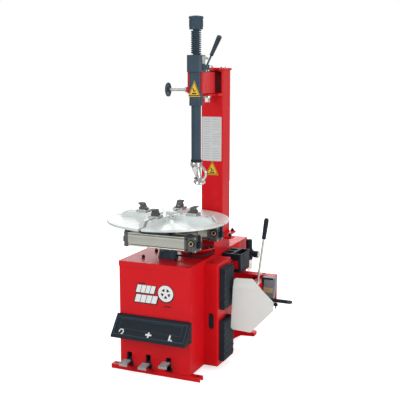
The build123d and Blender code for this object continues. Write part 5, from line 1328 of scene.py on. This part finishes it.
# ---------------------------------------------------------------------------------
# Bead breaker
# ---------------------------------------------------------------------------------
@dataclass
class BeadBreaker:
    """Handle, cover trim and hinge washer of the bead breaker."""

    grip_length: float = 0.106

    def build(self) -> None:
        """Make every detail piece."""
        self._handle()
        self._cover()
        self._hinge()

    def _handle(self) -> None:
        """Plated rod and a long rubber grip, in place of the plain handle."""
        foot = Vector((0.430, -0.041, 0.430))
        tip = Vector((0.478, -0.041, 0.797))
        lean = (tip - foot).normalized()
        reach = (tip - foot).length
        rod = bmesh.new()
        Shop.add_rod(rod, foot + lean * 0.0135, foot + lean * (reach - 0.05), 0.0058, 24)
        Shop.add_lathe(rod, foot + lean * 0.0135, lean, [(0.0115, 0.0), (0.0115, 0.012), (0.0095, 0.0135)],
                       6)
        piece = Shop.finish_mesh("breaker_handle_rod", rod, PALETTE.zinc, "breaker", "zinc")
        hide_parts("breaker_handle")
        grip = bmesh.new()
        Shop.add_lathe(grip, foot + lean * (reach - self.grip_length + 0.002), lean, [(0.0085, 0.0),
                       (0.0115, 0.0015), (0.0115, 0.008), (0.0108, 0.011), (0.0118, 0.040), (0.0130,
                       0.085), (0.0128, 0.103), (0.0108, 0.1105), (0.0060, 0.1142), (0.0, 0.1150)], 48, 10,
                       0.0010)
        Shop.finish_mesh("breaker_handle_grip", grip, PALETTE.plastic, "breaker", "black_plastic")

    def _cover(self) -> None:
        """Black edging and label of the grey cover, and the small adjusting knob."""
        low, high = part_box("breaker_cover")
        plane = Frame2(Vector((0.0, low[1], 0.0)), X, Z)
        edge = bmesh.new()
        Shop.add_prism(edge, plane, [(low[0] - 0.006, 0.398), (low[0] + 0.006, 0.398), (low[0] + 0.010,
                       0.458), (high[0] - 0.012, 0.458), (high[0] - 0.012, high[2] + 0.0002),
                       (low[0] - 0.006, high[2] + 0.0002)], -0.002, 0.0016, 0.0006)
        Shop.finish_mesh("breaker_cover_edging", edge, PALETTE.rubber, "breaker", "rubber")
        label = bmesh.new()
        Shop.add_prism(label, plane, [(low[0] + 0.006, 0.386), (high[0] - 0.014, 0.384), (high[0] - 0.012,
                       0.412), (low[0] + 0.006, 0.414)], 0.0, 0.0006)
        Shop.finish_mesh("breaker_cover_label", label, PALETTE.olive, "breaker", "white_paint")
        ink = bmesh.new()
        for k in range(3):
            Shop.add_bar(ink, plane, (0.040 - 0.006 * k, 0.0030, 0.001), (low[0] + 0.032,
                         0.406 - 0.0075 * k), 0.0005, 0.0009)
        Shop.finish_mesh("breaker_cover_print", ink, PALETTE.pale_ink, "breaker", "grey_paint")
        knob = bmesh.new()
        post = Vector((high[0] + 0.001, low[1] + 0.010, 0.322))
        Shop.add_rod(knob, post + Z * 0.030, post - Z * 0.024, 0.0032, 16)
        Shop.add_lathe(knob, post - Z * 0.009, Z, [(0.0090, 0.0), (0.0118, 0.002), (0.0118, 0.013),
                       (0.0090, 0.0155)], 40, 10, 0.0012)
        Shop.finish_mesh("breaker_stop_knob", knob, PALETTE.plastic, "breaker", "black_plastic")

    def _hinge(self) -> None:
        """Washer and split pin on the hinge pin."""
        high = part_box("breaker_beam")[1]
        pin = Vector((0.412, 0.130, high[2]))
        bm = bmesh.new()
        Shop.add_lathe(bm, pin - Z * 0.0078, Z, [(0.0205, 0.0), (0.0205, 0.003), (0.0190, 0.0034)], 40)
        Shop.add_rod(bm, pin - Z * 0.003 - X * 0.016, pin - Z * 0.003 + X * 0.016, 0.0016, 10)
        Shop.finish_mesh("hinge_washer", bm, PALETTE.zinc, "cabinet", "zinc")


# ---------------------------------------------------------------------------------
# Air supply, tray and pedals
# ---------------------------------------------------------------------------------
@dataclass
class AirSupply:
    """Gauge, knob and bowl details, and the air hoses."""

    hose_radius: float = 0.0046

    def build(self) -> None:
        """Make every detail piece."""
        self._gauge()
        self._knob()
        self._bowl()
        self._hoses()

    def _gauge(self) -> None:
        """White dial, bezel, ticks and needle."""
        low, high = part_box("pressure_gauge")
        centre = Vector((high[0], (low[1] + high[1]) / 2, (low[2] + high[2]) / 2))
        dial = bmesh.new()
        Shop.add_lathe(dial, centre - X * 0.0002, X, [(0.0168, 0.0), (0.0168, 0.0006), (0.0, 0.0006)], 48)
        Shop.finish_mesh("gauge_dial", dial, PALETTE.label, "cabinet", "white_paint")
        marks = bmesh.new()
        plane = Frame2(centre + X * 0.0004, Y, Z)
        for k in range(11):
            a = math.radians(225 - 27 * k)
            Shop.add_bar(marks, plane, (0.0032, 0.0009, 0.0002), (0.0135 * math.cos(a),
                         0.0135 * math.sin(a)), 0.0, 0.0003, turn=a)
        Shop.add_bar(marks, plane, (0.0150, 0.0012, 0.0004), (0.003, 0.003), 0.0002, 0.0005, turn=0.8)
        Shop.finish_mesh("gauge_marks", marks, PALETTE.ink, "cabinet", "black_paint")
        bezel = bmesh.new()
        angles = [2 * math.pi * k / 48 for k in range(49)]
        path = [centre + X * 0.0006 + (Y * math.cos(a) + Z * math.sin(a)) * 0.0178 for a in angles]
        Shop.add_tube(bezel, path, 0.0016, 8)
        Shop.finish_mesh("gauge_bezel", bezel, PALETTE.zinc, "cabinet", "zinc", 80)

    def _knob(self) -> None:
        """Fluted skirt of the regulator's knob."""
        low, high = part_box("regulator_knob")
        centre = Vector(((low[0] + high[0]) / 2, (low[1] + high[1]) / 2, low[2] + 0.024))
        bm = bmesh.new()
        Shop.add_lathe(bm, centre, Z, [(0.0168, 0.0), (0.0182, 0.002), (0.0182, 0.034), (0.0168, 0.037)],
                       144, 24, 0.0012)
        Shop.finish_mesh("regulator_knob_flutes", bm, PALETTE.plastic, "regulator_knob", "black_plastic")

    def _bowl(self) -> None:
        """Fluted collar of the filter bowl."""
        low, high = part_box("filter_bowl")
        centre = Vector(((low[0] + high[0]) / 2, (low[1] + high[1]) / 2, 0.0))
        bm = bmesh.new()
        Shop.add_lathe(bm, centre + Z * (high[2] - 0.014), Z, [(0.0202, 0.0), (0.0216, 0.002), (0.0216,
                       0.012), (0.0202, 0.0138)], 72, 18, 0.0007)
        Shop.finish_mesh("bowl_collar", bm, PALETTE.plastic, "cabinet", "black_plastic")

    def _hoses(self) -> None:
        """Three hoses, black, red and black, from the neck to the tee, on smooth routes."""
        low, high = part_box("hose_tee")
        tee = Vector(((low[0] + high[0]) / 2, low[1], (low[2] + high[2]) / 2))
        routes = (
            ("hose_black", PALETTE.rubber, (0.004, -0.001, -0.002), (
                (0.050, -0.241, 0.611), (0.090, -0.246, 0.612), (0.160, -0.232, 0.611),
                (0.206, -0.186, 0.614), (0.224, -0.140, 0.624), (0.212, -0.112, 0.632))),
            ("hose_red", PALETTE.hose_red, (0.002, 0.002, 0.003), (
                (0.034, -0.203, 0.626), (0.064, -0.190, 0.622), (0.120, -0.200, 0.628),
                (0.180, -0.178, 0.634), (0.216, -0.140, 0.640), (0.208, -0.112, 0.638))),
            ("hose_return", PALETTE.rubber, (-0.003, 0.002, 0.005), (
                (0.020, -0.192, 0.628), (0.060, -0.172, 0.640), (0.120, -0.160, 0.648),
                (0.176, -0.142, 0.652), (0.206, -0.122, 0.648), (0.198, -0.108, 0.640))),
        )
        for name, finish, end, stations in routes:
            points = [*stations, (tee.x + end[0], tee.y + end[1], tee.z + end[2])]
            curve = bpy.data.curves.new(name, "CURVE")
            curve.dimensions = "3D"
            line = curve.splines.new("NURBS")
            line.points.add(len(points) - 1)
            for point, place in zip(line.points, points):
                point.co = (*place, 1.0)
            line.order_u = 3
            line.use_endpoint_u = True
            curve.bevel_depth = self.hose_radius
            curve.bevel_resolution = 5
            curve.resolution_u = 10
            curve.use_fill_caps = True
            curve.materials.append(finish.material())
            piece = bpy.data.objects.new(name, curve)
            bpy.context.scene.collection.objects.link(piece)
            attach(piece, "cabinet")
        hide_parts("air_hoses")


@dataclass
class Pedals:
    """Ribbed tread plates on the three pedals."""

    ribs: int = 7
    tilt: float = math.radians(8.0)

    def build(self) -> None:
        """Make one tread for each pedal."""
        for name, x, rise in PEDAL_PLACES:
            out = Vector((0.0, -math.cos(self.tilt), -math.sin(self.tilt)))
            seat = Vector((x, -0.457, 0.081 + rise))
            plane = Frame2(seat, X, -out)
            bm = bmesh.new()
            Shop.add_prism(bm, plane, Shop.rounded(0.047, 0.051, 0.005), 0.0058, 0.0078, 0.0007)
            for k in range(self.ribs):
                v = -0.020 + 0.040 * k / (self.ribs - 1)
                Shop.add_bar(bm, plane, (0.038, 0.0034, 0.001), (0, v), 0.0070, 0.0094, 0.0006)
            Shop.add_bar(bm, plane, (0.047, 0.004, 0.001), (0, -0.0255), -0.007, 0.0076, 0.0006)
            Shop.finish_mesh(f"{name}_pedal_tread", bm, PALETTE.tread, f"{name}_foot_pedal", "grey_paint")


# ---------------------------------------------------------------------------------
# Studio
# ---------------------------------------------------------------------------------
@dataclass
class Studio:
    """Camera, floor and soft lights."""

    lens: float = 68.92
    place: Point = (1.74893, -3.81055, 1.54326)
    tilt: float = math.radians(80.839)
    turn: float = math.radians(23.677)
    surroundings: float = 0.42

    def build(self) -> None:
        """Make the camera, the floor, the world and the lamps."""
        data = bpy.data.cameras.new("camera")
        data.lens = self.lens
        data.sensor_width = 36.0
        camera = bpy.data.objects.new("camera", data)
        camera.location = self.place
        camera.rotation_euler = (self.tilt, 0.0, self.turn)
        bpy.context.scene.collection.objects.link(camera)
        bpy.context.scene.camera = camera
        self._floor()
        self._world()
        self._lamp("key", (-1.6, -4.2, 2.6), 2.4, 66.0)
        self._lamp("fill", (3.8, -1.6, 1.6), 2.2, 56.0)
        self._lamp("top", (0.3, 0.6, 4.4), 3.0, 60.0)
        self._lamp("back", (-1.8, 6.5, 2.2), 6.0, 160.0)

    def _floor(self) -> None:
        """Plain pale floor under the machine."""
        mesh = bpy.data.meshes.new("floor")
        bm = bmesh.new()
        bmesh.ops.create_grid(bm, x_segments=1, y_segments=1, size=30.0)
        bm.to_mesh(mesh)
        bm.free()
        mat = bpy.data.materials.new("floor")
        mat.use_nodes = True
        shader = next(n for n in mat.node_tree.nodes if n.type == "BSDF_PRINCIPLED")
        shader.inputs["Base Color"].default_value = (0.93, 0.93, 0.93, 1.0)
        shader.inputs["Roughness"].default_value = 0.9
        shader.inputs["Specular IOR Level"].default_value = 0.0
        shader.inputs["Emission Color"].default_value = (1.0, 1.0, 1.0, 1.0)
        seen = mat.node_tree.nodes.new("ShaderNodeLightPath")
        glow = mat.node_tree.nodes.new("ShaderNodeMapRange")
        glow.inputs["To Max"].default_value = 0.66
        mat.node_tree.links.new(seen.outputs["Is Camera Ray"], glow.inputs["Value"])
        mat.node_tree.links.new(glow.outputs["Result"], shader.inputs["Emission Strength"])
        mesh.materials.append(mat)
        floor = bpy.data.objects.new("floor", mesh)
        bpy.context.scene.collection.objects.link(floor)

    def _world(self) -> None:
        """Even white surroundings."""
        world = bpy.data.worlds.new("world")
        world.use_nodes = True
        nodes, links = world.node_tree.nodes, world.node_tree.links
        back = next(n for n in nodes if n.type == "BACKGROUND")
        back.inputs["Color"].default_value = (1.0, 1.0, 1.0, 1.0)
        seen = nodes.new("ShaderNodeLightPath")
        level = nodes.new("ShaderNodeMapRange")
        level.inputs["To Min"].default_value = self.surroundings
        level.inputs["To Max"].default_value = 1.0
        links.new(seen.outputs["Is Camera Ray"], level.inputs["Value"])
        links.new(level.outputs["Result"], back.inputs["Strength"])
        bpy.context.scene.world = world
        bpy.context.scene.view_settings.view_transform = "Standard"

    def _lamp(self, name: str, place: Point, size: float, power: float) -> None:
        """Add an area lamp aimed at the machine's middle.

        Args:
            name: Name of the lamp.
            place: Its place.
            size: Its diameter.
            power: Its power in watts.
        """
        data = bpy.data.lights.new(name, "AREA")
        data.shape = "DISK"
        data.size = size
        data.energy = power
        lamp = bpy.data.objects.new(name, data)
        lamp.location = place
        aim = Vector((0.1, -0.1, 0.8)) - Vector(place)
        lamp.rotation_euler = aim.to_track_quat("-Z", "Y").to_euler()
        bpy.context.scene.collection.objects.link(lamp)


def main() -> None:
    """Dress the frame, build every sub-assembly and set up the studio."""
    logging.basicConfig(level=logging.INFO, format="%(name)s: %(message)s")
    CadFinishes().dress()
    parts = (Cabinet(), Column(), SwingArm(), Turntable(), BeadBreaker(), AirSupply(), Pedals(), Studio())
    for part in parts:
        LOG.info("building %s", type(part).__name__)
        part.build()


if __name__ == "__main__":
    main()
